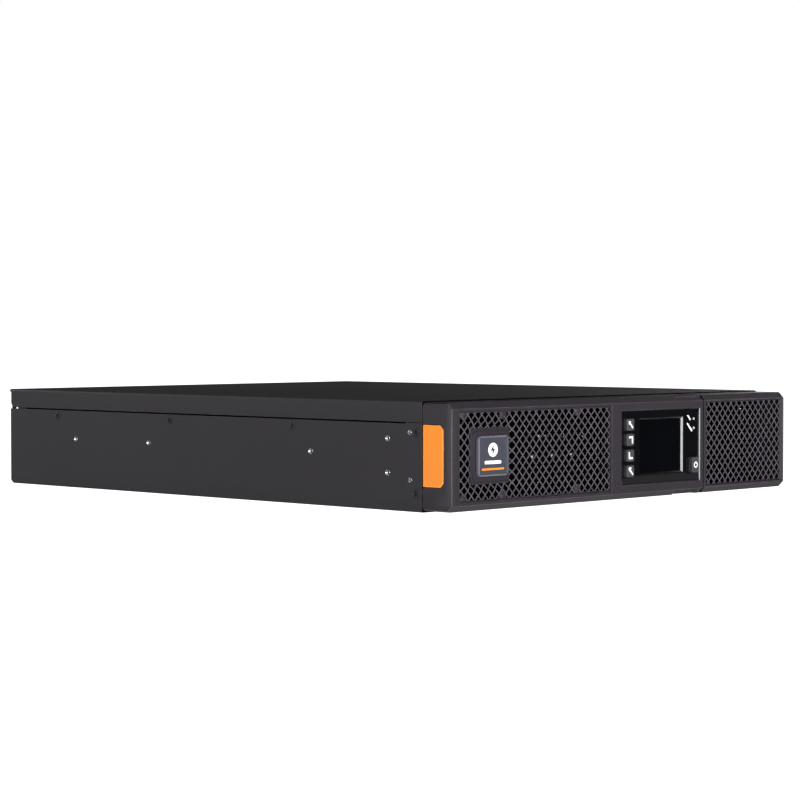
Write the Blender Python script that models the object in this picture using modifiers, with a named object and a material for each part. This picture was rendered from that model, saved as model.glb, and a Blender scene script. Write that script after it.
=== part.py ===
"""Rack or tower uninterruptible power supply, two rack units high.

The origin is the middle of the underside. +X is to the right of someone facing the front panel,
-Y is the front and +Z is up. Sizes below are millimetres, and MM turns them into scene metres.
"""

import math

import bmesh
import bpy
from mathutils import Matrix, Vector

MM = 0.001

# Driving dimensions.
HALF_WIDTH = 215.0
HEIGHT = 85.0
BEZEL_FRONT = -269.0
CHASSIS_FRONT = -238.0
COVER_REAR = 272.2
COVER_LIP_REAR = 274.0
COVER_LIP = 2.6
BASE_REAR = 272.8
REAR_CORNER = 3.0
SHEET = 1.2
FIT = 0.3

# Chassis.
WALL_TOP = 68.4
WALL_STEP_Y = CHASSIS_FRONT + 16.8
WALL_STEP = 1.0
MOUTH_FLANGE = 4.0
REAR_FLANGE = 4.5
COVER_SCREW_Y = (-95.8, 54.0, 204.7)
PANEL_FACE = 264.0
PANEL_RETURN = 12.0
PANEL_SHEET = 1.0
INNER = HALF_WIDTH - SHEET - FIT
CEILING = HEIGHT - SHEET - FIT

# Battery bay, on the left, and the pack that slides out of it.
DIVIDER_X = -4.0
BAY_REAR = 106.8
PACK_LEFT = -210.5
PACK_RIGHT = -5.5
PACK_FRONT = -222.0
PACK_REAR = 83.5
PACK_FLOOR = 1.5
TRAY_SHEET = 1.0
BATTERY = (94.0, 151.0, 65.0)
TERMINAL = 5.0
DOOR_SCREWS = {"door_screw_left": (-200.0, 42.5), "door_screw_right": (-12.0, 42.5)}

# Front bezel.
BEZEL_LOW = 1.3
BEZEL_HIGH = 84.0
BEZEL_BACK = CHASSIS_FRONT - 0.6
BEZEL_WALL = 2.5
BEZEL_CHAMFER = 4.6
BEZEL_SIDE_CHAMFER = 3.2
BEZEL_SEAM = 97.0
SEAM_GAP = 0.8
LEFT_GRILLE = (-206.5, 8.5, -25.0, 77.5)
RIGHT_GRILLE = (101.0, 7.0, 211.0, 78.5)
LATTICE_PITCH = (15.6, 16.4)
LATTICE_STRAND = 2.4
LATTICE_SHEET = 1.5
GRILLE_DEPTH = 1.2

# Badge: a plate that turns a quarter turn, in a pocket of the left grille.
BADGE_CENTRE = (-168.8, 42.8)
BADGE_SIZE = (34.2, 31.0)
BADGE_PROUD = 1.0
BADGE_THICK = 3.0
BADGE_CORNER = 3.0
POCKET_MOUTH = (-195.0, 15.5, -142.5, 70.0)
POCKET_FLOOR = (-190.8, 21.5, -146.8, 64.0)
POCKET_DEPTH = 3.2
PIVOT_RADIUS = 3.5

# Orange side inlays of the bezel.
ACCENT_FRONT = -259.9
ACCENT_LOW = 19.9
ACCENT_HIGH = 67.0
ACCENT_CHAMFER = 3.4
ACCENT_DEPTH = 1.5
ACCENT_GAP = 0.7

# Display, keys and power button.
FASCIA = (-12.0, 12.9, 91.5, 72.5)
FASCIA_DEPTH = 1.5
FASCIA_RAMP_LOW = 19.7
FASCIA_RAMP_HIGH = 67.0
FASCIA_SHEET = 1.5
FASCIA_LEAD_IN = 0.7
WINDOW = (12.4, 20.0, 70.4, 66.5)
WINDOW_SLOPE = 1.7
KEY_LEFT = -7.6
KEY_SIZE = 9.8
KEY_HEIGHTS = {"key_escape": 61.7, "key_up": 49.4, "key_down": 36.6, "key_enter": 23.9}
KEY_PROUD = 1.6
POWER_BUTTON = (78.9, 19.2, 88.5, 32.3)
POWER_PROUD = 2.0
BUTTON_BACK = -263.0
BUTTON_FLANGE = 0.8
LAMP_X = 85.0
LAMP_HEIGHTS = (64.2, 56.5)
LAMP_RADIUS = 1.1
BOARD_FACE = -256.0
RELEASE = (60.0, 91.5)

# Electronics and rear connections.
BOARD_TOP = 9.6
BOARD_SHEET = 1.6
FAN_SIZE = 80.0
FAN_DEPTH = 25.0
FAN_BORE = 38.0
FAN_HUB = 17.0
FAN_BLADES = 7
FAN_CENTRES = {"left": 88.5, "right": 170.5}
FAN_HEIGHT = 42.5

parts = bpy.data.collections.new("uninterruptible_power_supply")
cutters = bpy.data.collections.new("cutters")


# Looks ----------------------------------------------------------------------------------------


def make_material(name, colour, roughness, metallic=0.0):
    material = bpy.data.materials.new(name)
    material.use_nodes = True
    shader = material.node_tree.nodes["Principled BSDF"]
    shader.inputs["Base Color"].default_value = (*colour, 1.0)
    shader.inputs["Roughness"].default_value = roughness
    shader.inputs["Metallic"].default_value = metallic
    material.diffuse_color = (*colour, 1.0)
    return material


# Colour, roughness and metallic value of each finish.
FINISHES = {
    "chassis": ((0.035, 0.034, 0.038), 0.55, 0.0),
    "bezel": ((0.022, 0.020, 0.025), 0.50, 0.0),
    "gloss_black": ((0.008, 0.008, 0.010), 0.12, 0.0),
    "key_grey": ((0.10, 0.10, 0.115), 0.50, 0.0),
    "badge_grey": ((0.075, 0.082, 0.105), 0.40, 0.0),
    "orange": ((0.85, 0.28, 0.03), 0.45, 0.0),
    "zinc": ((0.62, 0.63, 0.64), 0.35, 1.0),
    "aluminium": ((0.70, 0.71, 0.72), 0.40, 1.0),
    "copper": ((0.62, 0.28, 0.12), 0.40, 1.0),
    "board_green": ((0.02, 0.16, 0.07), 0.45, 0.0),
    "battery_case": ((0.05, 0.05, 0.055), 0.60, 0.0),
    "black_plastic": ((0.015, 0.015, 0.017), 0.55, 0.0),
    "sleeve": ((0.03, 0.05, 0.12), 0.40, 0.0),
    "lamp": ((0.55, 0.56, 0.55), 0.30, 0.0),
}


# Shape helpers. Every one takes millimetres. ---------------------------------------------------


def place(name, mesh, finish):
    """Puts a mesh in the model, or with no finish makes it a hidden cutter."""
    thing = bpy.data.objects.new(name, mesh)
    if finish is None:
        thing.hide_render = True
        thing.display_type = "WIRE"
        cutters.objects.link(thing)
    else:
        mesh.materials.append(make_material(name, *FINISHES[finish]))
        parts.objects.link(thing)
    return thing


def add_block(bm, low, high):
    low = Vector(low)
    high = Vector(high)
    middle = Matrix.Translation((low + high) / 2 * MM)
    size = Matrix.Diagonal(((high - low) * MM).to_4d())
    size[3][3] = 1.0
    return bmesh.ops.create_cube(bm, size=1.0, matrix=middle @ size)["verts"]


def blocks(name, corners, finish=None):
    """One mesh of separate blocks, each given by its two opposite corners."""
    bm = bmesh.new()
    for low, high in corners:
        add_block(bm, low, high)
    mesh = bpy.data.meshes.new(name)
    bm.to_mesh(mesh)
    bm.free()
    return place(name, mesh, finish)


def block(name, low, high, finish=None):
    return blocks(name, [(low, high)], finish)


def tapered_block(name, front, back, front_y, back_y, finish=None):
    """A block whose front and back faces are unlike rectangles (x0, z0, x1, z1)."""
    bm = bmesh.new()
    low = (front[0], front_y, front[1])
    high = (front[2], back_y, front[3])
    middle = Vector(((low[0] + high[0]) / 2, (front_y + back_y) / 2, (low[2] + high[2]) / 2)) * MM
    for vert in add_block(bm, low, high):
        if vert.co.y > middle.y:
            vert.co.x = (back[2] if vert.co.x > middle.x else back[0]) * MM
            vert.co.z = (back[3] if vert.co.z > middle.z else back[1]) * MM
    mesh = bpy.data.meshes.new(name)
    bm.to_mesh(mesh)
    bm.free()
    return place(name, mesh, finish)


def chamfered_block(name, low, high, chamfers, finish=None):
    """A block with flat chamfers, cut in turn on the edges that each test picks by the middle point."""
    bm = bmesh.new()
    add_block(bm, low, high)
    for is_chamfered, width in chamfers:
        chosen = []
        for edge in bm.edges:
            middle = (edge.verts[0].co + edge.verts[1].co) / 2 / MM
            if is_chamfered(middle):
                chosen.append(edge)
        bmesh.ops.bevel(bm, geom=chosen, offset=width * MM, segments=1, affect="EDGES")
    mesh = bpy.data.meshes.new(name)
    bm.to_mesh(mesh)
    bm.free()
    return place(name, mesh, finish)


TURN_TO = {
    "X": Matrix.Rotation(math.pi / 2, 4, "Y"),
    "Y": Matrix.Rotation(math.pi / 2, 4, "X"),
    "Z": Matrix.Identity(4),
}


def rods(name, rows, finish=None, segments=24):
    """One mesh of separate cylinders, each (middle, axis, radius, length)."""
    bm = bmesh.new()
    for middle, axis, radius, length in rows:
        where = Matrix.Translation(Vector(middle) * MM) @ TURN_TO[axis]
        bmesh.ops.create_cone(
            bm,
            cap_ends=True,
            segments=segments,
            radius1=radius * MM,
            radius2=radius * MM,
            depth=length * MM,
            matrix=where,
        )
    mesh = bpy.data.meshes.new(name)
    bm.to_mesh(mesh)
    bm.free()
    thing = place(name, mesh, finish)
    if finish is not None:
        mesh.shade_smooth()
        mesh.set_sharp_from_angle(angle=math.radians(35))
    return thing


PLATE_TURN = {
    "X": (math.pi / 2, 0.0, math.pi / 2),
    "Y": (math.pi / 2, 0.0, 0.0),
    "Z": (0.0, 0.0, 0.0),
}


def plate(name, outlines, normal, low, high, finish=None):
    """A flat piece with its outline and holes drawn square to an axis, between two planes.

    The drawing's two directions are Y and Z for normal X, X and Z for normal Y, X and Y for Z.
    """
    curve = bpy.data.curves.new(name, "CURVE")
    curve.dimensions = "2D"
    curve.fill_mode = "BOTH"
    curve.extrude = (high - low) / 2 * MM
    for outline in outlines:
        spline = curve.splines.new("POLY")
        spline.points.add(len(outline) - 1)
        for point, (across, up) in zip(spline.points, outline):
            point.co = (across * MM, up * MM, 0.0, 1.0)
        spline.use_cyclic_u = True
    drawing = bpy.data.objects.new(name + "_drawing", curve)
    drawing.rotation_euler = PLATE_TURN[normal]
    drawing.location["XYZ".index(normal)] = (low + high) / 2 * MM
    cutters.objects.link(drawing)
    bpy.context.view_layer.update()
    graph = bpy.context.evaluated_depsgraph_get()
    mesh = bpy.data.meshes.new_from_object(drawing.evaluated_get(graph))
    mesh.name = name
    bm = bmesh.new()
    bm.from_mesh(mesh)
    bmesh.ops.remove_doubles(bm, verts=bm.verts, dist=0.00001)
    bm.to_mesh(mesh)
    bm.free()
    mesh.materials.clear()
    thing = place(name, mesh, finish)
    thing.matrix_world = drawing.matrix_world
    bpy.data.objects.remove(drawing)
    return thing


def rectangle(x0, y0, x1, y1):
    return [(x0, y0), (x1, y0), (x1, y1), (x0, y1)]


def rounded(x0, y0, x1, y1, radius, steps=4):
    """The outline of a rectangle with round corners."""
    corners = ((x1, y1, 0), (x0, y1, 90), (x0, y0, 180), (x1, y0, 270))
    outline = []
    for x, y, start in corners:
        middle_x = x - math.copysign(radius, x - (x0 + x1) / 2)
        middle_y = y - math.copysign(radius, y - (y0 + y1) / 2)
        for step in range(steps + 1):
            angle = math.radians(start + 90 * step / steps)
            outline.append((middle_x + radius * math.cos(angle), middle_y + radius * math.sin(angle)))
    return outline


def circle(x, y, radius, steps=24):
    turn = math.tau / steps
    return [(x + radius * math.cos(turn * i), y + radius * math.sin(turn * i)) for i in range(steps)]


def lattice(area, keep_clear=()):
    """Diamond cells in staggered rows inside the area, none of them reaching a clear rectangle."""
    x0, z0, x1, z1 = area
    pitch_x, pitch_z = LATTICE_PITCH
    half_x = pitch_x / 2 - LATTICE_STRAND / 2
    half_z = pitch_z / 2 - LATTICE_STRAND / 2
    columns = int((x1 - x0 - 2 * half_x) / (pitch_x / 2))
    rows = int((z1 - z0 - 2 * half_z) / (pitch_z / 2))
    start_x = (x0 + x1 - columns * pitch_x / 2) / 2
    start_z = (z0 + z1 - rows * pitch_z / 2) / 2
    cells = []
    for column in range(columns + 1):
        for row in range(column % 2, rows + 1, 2):
            x = start_x + column * pitch_x / 2
            z = start_z + row * pitch_z / 2
            reach = (x - half_x, z - half_z, x + half_x, z + half_z)
            if any(overlaps(reach, other) for other in keep_clear):
                continue
            cells.append([(x - half_x, z), (x, z - half_z), (x + half_x, z), (x, z + half_z)])
    return cells


def overlaps(first, second):
    beside = first[2] < second[0] or second[2] < first[0]
    above = first[3] < second[1] or second[3] < first[1]
    return not (beside or above)


def grown(area, by):
    return (area[0] - by, area[1] - by, area[2] + by, area[3] + by)


def combine(part, operation, tools):
    for tool in tools:
        modifier = part.modifiers.new(tool.name, "BOOLEAN")
        modifier.operation = operation
        modifier.object = tool
    return part


def cut(part, *tools):
    return combine(part, "DIFFERENCE", tools)


def join(part, *tools):
    return combine(part, "UNION", tools)


def soften(part, width, segments=1):
    """Small round edges on a plain piece."""
    modifier = part.modifiers.new("soft_edges", "BEVEL")
    modifier.width = width * MM
    modifier.segments = segments
    modifier.limit_method = "ANGLE"
    modifier.angle_limit = math.radians(50)
    return part


def put_origin(part, point):
    """Moves a piece's origin to a point on its joint's axis, and leaves the piece where it is."""
    shift = Vector(point) * MM
    part.data.transform(Matrix.Translation(-shift))
    part.location = shift
    return part


# Enclosure --------------------------------------------------------------------------------------


def make_base_tray():
    tray = block("base_tray", (-HALF_WIDTH, CHASSIS_FRONT, 0), (HALF_WIDTH, BASE_REAR, WALL_TOP), "chassis")
    inside = block(
        "base_inside",
        (-HALF_WIDTH + SHEET, CHASSIS_FRONT + SHEET, SHEET),
        (HALF_WIDTH - SHEET, BASE_REAR + 10, HEIGHT),
    )
    mouth = block(
        "base_mouth",
        (-HALF_WIDTH + MOUTH_FLANGE, CHASSIS_FRONT - 10, SHEET),
        (HALF_WIDTH - MOUTH_FLANGE, CHASSIS_FRONT + 10, HEIGHT),
    )
    step = block(
        "wall_step",
        (-HALF_WIDTH - 1, WALL_STEP_Y, WALL_TOP - WALL_STEP),
        (HALF_WIDTH + 1, BASE_REAR + 1, WALL_TOP + 1),
    )
    cut(tray, inside, mouth, step)
    board_bottom = BOARD_TOP - BOARD_SHEET - FIT
    standoffs = []
    for x, y in ((14, -215), (200, -215), (14, 215), (200, 215), (107, 0)):
        standoffs.append(((x, y, (SHEET / 2 + board_bottom) / 2), "Z", 3.0, board_bottom - SHEET / 2))
    for x, y in ((-200, 122), (-16, 122), (-200, 228), (-16, 228)):
        standoffs.append(((x, y, (SHEET / 2 + board_bottom) / 2), "Z", 3.0, board_bottom - SHEET / 2))
    join(tray, rods("board_standoffs", standoffs, segments=8))
    # Each wall folds in at the rear, and the fold rises behind the cover's skirt.
    edge = HALF_WIDTH - SHEET / 2
    inner = HALF_WIDTH - SHEET - FIT
    tip = inner - REAR_FLANGE
    fold_top = WALL_TOP - WALL_STEP - 0.2
    for side in (-1, 1):
        outline = [(edge, SHEET / 2), (tip, SHEET / 2), (tip, 75), (inner, 75), (inner, fold_top), (edge, fold_top)]
        outline = [(side * x, z) for x, z in outline]
        join(tray, plate("rear_flange", [outline], "Y", BASE_REAR - SHEET, BASE_REAR))
    return cut(tray, rear_corner("base_corner", BASE_REAR, 0))


def rear_corner(name, rear, low):
    """A wedge that cuts the lower rear corner of a side wall at 45 degrees."""
    wedge = [
        (rear - REAR_CORNER - 1, low - 1),
        (rear + 1, low - 1),
        (rear + 1, low + REAR_CORNER + 1),
    ]
    return plate(name, [wedge], "X", -HALF_WIDTH - 1, HALF_WIDTH + 1)


def make_top_cover():
    low = WALL_TOP + FIT
    cover = block("top_cover", (-HALF_WIDTH, CHASSIS_FRONT, low), (HALF_WIDTH, COVER_REAR, HEIGHT), "chassis")
    inside = block(
        "cover_inside",
        (-HALF_WIDTH + SHEET, CHASSIS_FRONT + SHEET, low - 10),
        (HALF_WIDTH - SHEET, COVER_REAR + 10, HEIGHT - SHEET),
    )
    mouth = block(
        "cover_mouth",
        (-HALF_WIDTH + MOUTH_FLANGE, CHASSIS_FRONT - 10, low - 10),
        (HALF_WIDTH - MOUTH_FLANGE, CHASSIS_FRONT + 10, HEIGHT - MOUTH_FLANGE),
    )
    cut(cover, inside, mouth, rear_corner("cover_corner", COVER_REAR, low))
    lip = block(
        "cover_lip",
        (-HALF_WIDTH, COVER_REAR - 0.6, HEIGHT - COVER_LIP),
        (HALF_WIDTH, COVER_LIP_REAR, HEIGHT),
    )
    # Along each side the skirt steps inward past the tray's wall and hangs behind it, for the screws.
    outer = HALF_WIDTH - SHEET / 2
    inner = HALF_WIDTH - SHEET - FIT
    front = WALL_STEP_Y + 2
    rear = PANEL_FACE - PANEL_RETURN - FIT
    steps = []
    strips = []
    for side in (-1, 1):
        across = sorted((side * outer, side * (inner - SHEET)))
        steps.append(((across[0], front, low + 1.5), (across[1], rear, low + 5)))
        across = sorted((side * inner, side * (inner - SHEET)))
        strips.append(((across[0], front, 55), (across[1], rear, low + 2.5)))
    join(cover, lip, blocks("skirt_steps", steps), blocks("skirt_strips", strips))
    return cover


def make_rear_panel():
    panel = block("rear_panel", (-INNER, PANEL_FACE - PANEL_RETURN, SHEET + FIT), (INNER, PANEL_FACE, CEILING), "chassis")
    hollow = block(
        "panel_hollow",
        (-INNER + PANEL_SHEET, PANEL_FACE - PANEL_RETURN - 5, SHEET + FIT + PANEL_SHEET),
        (INNER - PANEL_SHEET, PANEL_FACE - PANEL_SHEET, CEILING - PANEL_SHEET),
    )
    cut(panel, hollow)
    vents = [((x, PANEL_FACE, FAN_HEIGHT), "Y", FAN_BORE, 8) for x in FAN_CENTRES.values()]
    vents.append(((BREAKER[0], PANEL_FACE, BREAKER[1]), "Y", BREAKER_NECK + FIT, 8))
    cut(panel, rods("panel_bores", vents, segments=32))
    windows = []
    for x0, z0, x1, z1 in REAR_OPENINGS:
        windows.append(((x0 - FIT, PANEL_FACE - 5, z0 - FIT), (x1 + FIT, PANEL_FACE + 5, z1 + FIT)))
    cut(panel, blocks("panel_windows", windows))
    return panel


def make_front_plate():
    """The sheet that closes the electronics side, with its air slots."""
    outline = rectangle(DIVIDER_X + 1.5, SHEET + FIT, INNER, CEILING)
    slots = []
    for index in range(13):
        x = 14 + index * 15
        slots.append(rounded(x - 3.5, 14, x + 3.5, 70, 3.4, steps=2))
    y = CHASSIS_FRONT + SHEET + FIT
    return plate("front_plate", [outline, *slots], "Y", y, y + SHEET, "chassis")


def make_bay_divider():
    """The angled sheet beside and behind the battery bay."""
    left = -INNER + SHEET + FIT
    right = DIVIDER_X + 1
    front = CHASSIS_FRONT + SHEET + FIT
    outline = [
        (right - 1, front),
        (right, front),
        (right, BAY_REAR + 1),
        (left, BAY_REAR + 1),
        (left, BAY_REAR),
        (right - 1, BAY_REAR),
    ]
    return plate("bay_divider", [outline], "Z", SHEET + FIT, 78, "zinc")


def make_battery_door():
    """The plate screwed over the battery bay, with a stiffening fold along the top and bottom."""
    y = CHASSIS_FRONT - FIT
    holes = [circle(x, z, 2.6, 12) for x, z in DOOR_SCREWS.values()]
    outline = rounded(-209.5, 5, -1, 80, 3, steps=2)
    door = plate("battery_door", [outline, *holes], "Y", y - SHEET, y, "chassis")
    folds = blocks(
        "door_folds",
        [((-204, y - 6, 5.6), (-8, y - SHEET / 2, 6.8)), ((-204, y - 6, 78.2), (-8, y - SHEET / 2, 79.4))],
    )
    join(door, folds)
    for name, (x, z) in DOOR_SCREWS.items():
        screw = rods(name, [((x, y - SHEET - FIT - 2.5, z), "Y", 4.5, 5.0)], "zinc", 16)
        shank = rods(name + "_shank", [((x, y - SHEET - 2, z), "Y", 2.2, 8)], segments=12)
        join(screw, shank)
    return door


# Front bezel ------------------------------------------------------------------------------------


def bezel_shell(name, left, right, outer_side):
    """A hollow bezel half, open at the back, chamfered along its front and round its outer side."""
    outer = right if outer_side > 0 else left
    depth = BEZEL_WALL * 0.8

    def is_front(point):
        return point.y < BEZEL_FRONT + 5 and abs(point.x - (left + right) / 2) < 3

    def is_side(point):
        return abs(point.x - outer) < BEZEL_WALL + 0.1 and point.y < BEZEL_BACK - 1

    shell = chamfered_block(
        name,
        (left, BEZEL_FRONT, BEZEL_LOW),
        (right, BEZEL_BACK, BEZEL_HIGH),
        [(is_front, BEZEL_CHAMFER), (is_side, BEZEL_SIDE_CHAMFER)],
        "bezel",
    )
    hollow = chamfered_block(
        name + "_hollow",
        (left + BEZEL_WALL, BEZEL_FRONT + BEZEL_WALL, BEZEL_LOW + BEZEL_WALL),
        (right - BEZEL_WALL, BEZEL_BACK + 5, BEZEL_HIGH - BEZEL_WALL),
        [(is_front, BEZEL_CHAMFER - depth), (is_side, BEZEL_SIDE_CHAMFER - depth)],
    )
    edge = outer_side * HALF_WIDTH
    across = sorted((edge + outer_side, edge - outer_side * (ACCENT_DEPTH + FIT)))
    seat = plate(name + "_accent_seat", [accent_outline(ACCENT_GAP)], "X", *across)
    return cut(shell, hollow, seat)


def accent_outline(grow):
    """The inlay's side view: a strip that ends at the chassis, with two cut front corners."""
    front = ACCENT_FRONT - grow
    back = CHASSIS_FRONT if grow else CHASSIS_FRONT - 1.0
    low = ACCENT_LOW - grow
    high = ACCENT_HIGH + grow
    slant = ACCENT_CHAMFER
    return [
        (back, low),
        (back, high),
        (front + slant, high),
        (front, high - slant),
        (front, low + slant),
        (front + slant, low),
    ]


def make_accents():
    for name, side in (("accent_left", -1), ("accent_right", 1)):
        across = sorted((side * HALF_WIDTH, side * (HALF_WIDTH - ACCENT_DEPTH)))
        plate(name, [accent_outline(0.0)], "X", *across, "orange")


def make_display_bezel():
    bezel = bezel_shell("display_bezel", -HALF_WIDTH, BEZEL_SEAM - SEAM_GAP / 2, -1)
    openings = blocks(
        "display_bezel_openings",
        [
            opening(LEFT_GRILLE, BEZEL_FRONT - 5, BEZEL_FRONT + 10),
            opening(FASCIA, BEZEL_FRONT - 5, BEZEL_FRONT + 10),
        ],
    )
    notch = blocks(
        "release_notches",
        [
            ((RELEASE[0], BEZEL_FRONT - 1, 80.6), (RELEASE[1], -246, HEIGHT)),
            ((RELEASE[0], BEZEL_FRONT - 1, 0), (RELEASE[1], -246, 4.7)),
        ],
    )
    rooms = blocks(
        "release_rooms",
        [
            ((RELEASE[0], -266.6, 78.6), (RELEASE[1], -250, 81.0)),
            ((RELEASE[0], -266.6, 4.3), (RELEASE[1], -250, 6.7)),
        ],
    )
    lead_in = tapered_block(
        "fascia_lead_in", grown(FASCIA, FASCIA_LEAD_IN), FASCIA, BEZEL_FRONT - 0.001, BEZEL_FRONT + FASCIA_LEAD_IN
    )
    cut(bezel, openings, notch, rooms, lead_in)
    for name, low, high, stem in (
        ("release_top", 79.0, 83.2, (74.6, 79.2)),
        ("release_bottom", 2.1, 6.3, (6.1, 10.7)),
    ):
        pad = block(name, (RELEASE[0] + FIT, -266.3, low), (RELEASE[1] - FIT, -246.3, high), "bezel")
        join(pad, block(name + "_stem", (73, -247.8, stem[0]), (79, -246.6, stem[1])))
    return bezel


def opening(area, front, back):
    return ((area[0], front, area[1]), (area[2], back, area[3]))


def make_left_grille():
    front = BEZEL_FRONT + GRILLE_DEPTH
    back = front + LATTICE_SHEET
    x0, z0, x1, z1 = grown(LEFT_GRILLE, -FIT)
    cells = lattice(LEFT_GRILLE, [grown(POCKET_MOUTH, 1.0)])
    grille = plate("left_grille", [rectangle(x0, z0, x1, z1), *cells], "Y", front, back, "bezel")
    flange = plate(
        "left_grille_flange",
        [rectangle(x0 - 2.0, z0 - 1.0, x1 + 2.0, z1 + 1.0), rectangle(*grown(LEFT_GRILLE, -2.0))],
        "Y",
        BEZEL_FRONT + BEZEL_WALL + FIT,
        BEZEL_FRONT + BEZEL_WALL + FIT + 1.2,
    )
    link = plate(
        "left_grille_link",
        [rectangle(x0, z0, x1, z1), rectangle(*grown((x0, z0, x1, z1), -1.2))],
        "Y",
        back - 0.5,
        BEZEL_FRONT + BEZEL_WALL + FIT + 0.6,
    )
    floor = BEZEL_FRONT + POCKET_DEPTH
    pocket = tapered_block("badge_pocket", grown(POCKET_MOUTH, 1), grown(POCKET_FLOOR, 1), front, floor + 1.8)
    hollow = tapered_block(
        "badge_pocket_hollow", grown(POCKET_MOUTH, 0.2), POCKET_FLOOR, front - 0.1, floor
    )
    bore = rods("badge_bore", [((BADGE_CENTRE[0], floor, BADGE_CENTRE[1]), "Y", PIVOT_RADIUS + FIT, 8)])
    join(grille, flange, link, pocket)
    cut(grille, hollow, bore)
    return grille


def make_badge():
    x, z = BADGE_CENTRE
    half_x = BADGE_SIZE[0] / 2
    half_z = BADGE_SIZE[1] / 2
    front = BEZEL_FRONT - BADGE_PROUD
    back = front + BADGE_THICK
    outline = rounded(x - half_x, z - half_z, x + half_x, z + half_z, BADGE_CORNER)
    badge = plate("badge", [outline], "Y", front, back, "badge_grey")
    face = tapered_block(
        "badge_face",
        (x - half_x + 1, z - half_z + 1, x + half_x - 1, z + half_z - 1),
        (x - half_x + 3.6, z - half_z + 3.2, x + half_x - 3.6, z + half_z - 3.2),
        front - 0.1,
        front + 1.0,
    )
    floor = BEZEL_FRONT + POCKET_DEPTH + 1.8
    pivot = rods("badge_pivot", [((x, (back + floor) / 2, z), "Y", PIVOT_RADIUS, floor - back + 3)])
    clip = rods("badge_clip", [((x, floor + FIT + 0.8, z), "Y", PIVOT_RADIUS + 1.5, 1.6)])
    cut(badge, face)
    join(badge, pivot, clip)
    badge.data.transform(badge.matrix_world)
    badge.matrix_world = Matrix.Identity(4)
    return put_origin(badge, (x, back, z))


def make_vent_bezel():
    bezel = bezel_shell("vent_bezel", BEZEL_SEAM + SEAM_GAP / 2, HALF_WIDTH, 1)
    x0, z0, x1, z1 = RIGHT_GRILLE
    mouth = tapered_block(
        "vent_mouth",
        (x0, z0, x1 + 0.4, z1),
        (x0 + 0.6, z0 + 1.4, x1 - 0.9, z1 - 1.5),
        BEZEL_FRONT - 0.01,
        BEZEL_FRONT + BEZEL_WALL + 0.5,
    )
    return cut(bezel, mouth)


def make_right_grille():
    front = BEZEL_FRONT + BEZEL_WALL + FIT
    outline = rectangle(100.2, 6.8, 211.2, 78.5)
    holes = lattice((101.5, 8.3, 209.9, 77.2))
    return plate("right_grille", [outline, *holes], "Y", front, front + LATTICE_SHEET, "bezel")


def make_display_fascia():
    x0, z0, x1, z1 = grown(FASCIA, -FIT)
    floor = BEZEL_FRONT + FASCIA_DEPTH
    back = floor + FASCIA_SHEET
    section = [
        (BEZEL_FRONT, z0),
        (back, z0),
        (back, z1),
        (BEZEL_FRONT, z1),
        (floor, FASCIA_RAMP_HIGH),
        (floor, FASCIA_RAMP_LOW),
    ]
    fascia = plate("display_fascia", [section], "X", x0, x1, "gloss_black")
    tongues = blocks(
        "fascia_tongues",
        [
            ((x0 - 1.8, back - 0.2, z0 + 4), (x0 + 3, back + 0.8, z1 - 4)),
            ((x1 - 1.2, back - 0.2, z0 + 4), (x1 + 2.0, back + 0.8, z1 - 4)),
        ],
    )
    lead = 0.25
    window = tapered_block(
        "window_opening", grown(WINDOW, lead), grown(WINDOW, -WINDOW_SLOPE), floor - lead, floor + WINDOW_SLOPE
    )
    holes = []
    for z in KEY_HEIGHTS.values():
        holes.append(opening(grown(key_area(z), FIT), floor - 5, floor + 10))
    holes.append(opening(grown(POWER_BUTTON, FIT), floor - 5, floor + 10))
    lamps = [((LAMP_X, floor, z), "Y", LAMP_RADIUS + FIT, 12) for z in LAMP_HEIGHTS]
    join(fascia, tongues)
    cut(fascia, window, blocks("fascia_holes", holes), rods("lamp_holes", lamps, segments=12))
    return fascia


def key_area(z):
    return (KEY_LEFT, z - KEY_SIZE / 2, KEY_LEFT + KEY_SIZE, z + KEY_SIZE / 2)


def make_button(name, area, proud):
    """A push button with a flange behind the fascia that keeps it in."""
    middle = ((area[0] + area[2]) / 2, BUTTON_BACK, (area[1] + area[3]) / 2)
    back = BEZEL_FRONT + FASCIA_DEPTH + FASCIA_SHEET
    button = block(name, (area[0], BEZEL_FRONT - proud, area[1]), (area[2], BUTTON_BACK, area[3]), "key_grey")
    wide = grown(area, BUTTON_FLANGE)
    join(button, block(name + "_flange", (wide[0], back + FIT, wide[1]), (wide[2], BUTTON_BACK - 0.2, wide[3])))
    return put_origin(button, middle)


def make_buttons():
    for name, z in KEY_HEIGHTS.items():
        make_button(name, key_area(z), KEY_PROUD)
    make_button("power_button", POWER_BUTTON, POWER_PROUD)


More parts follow.
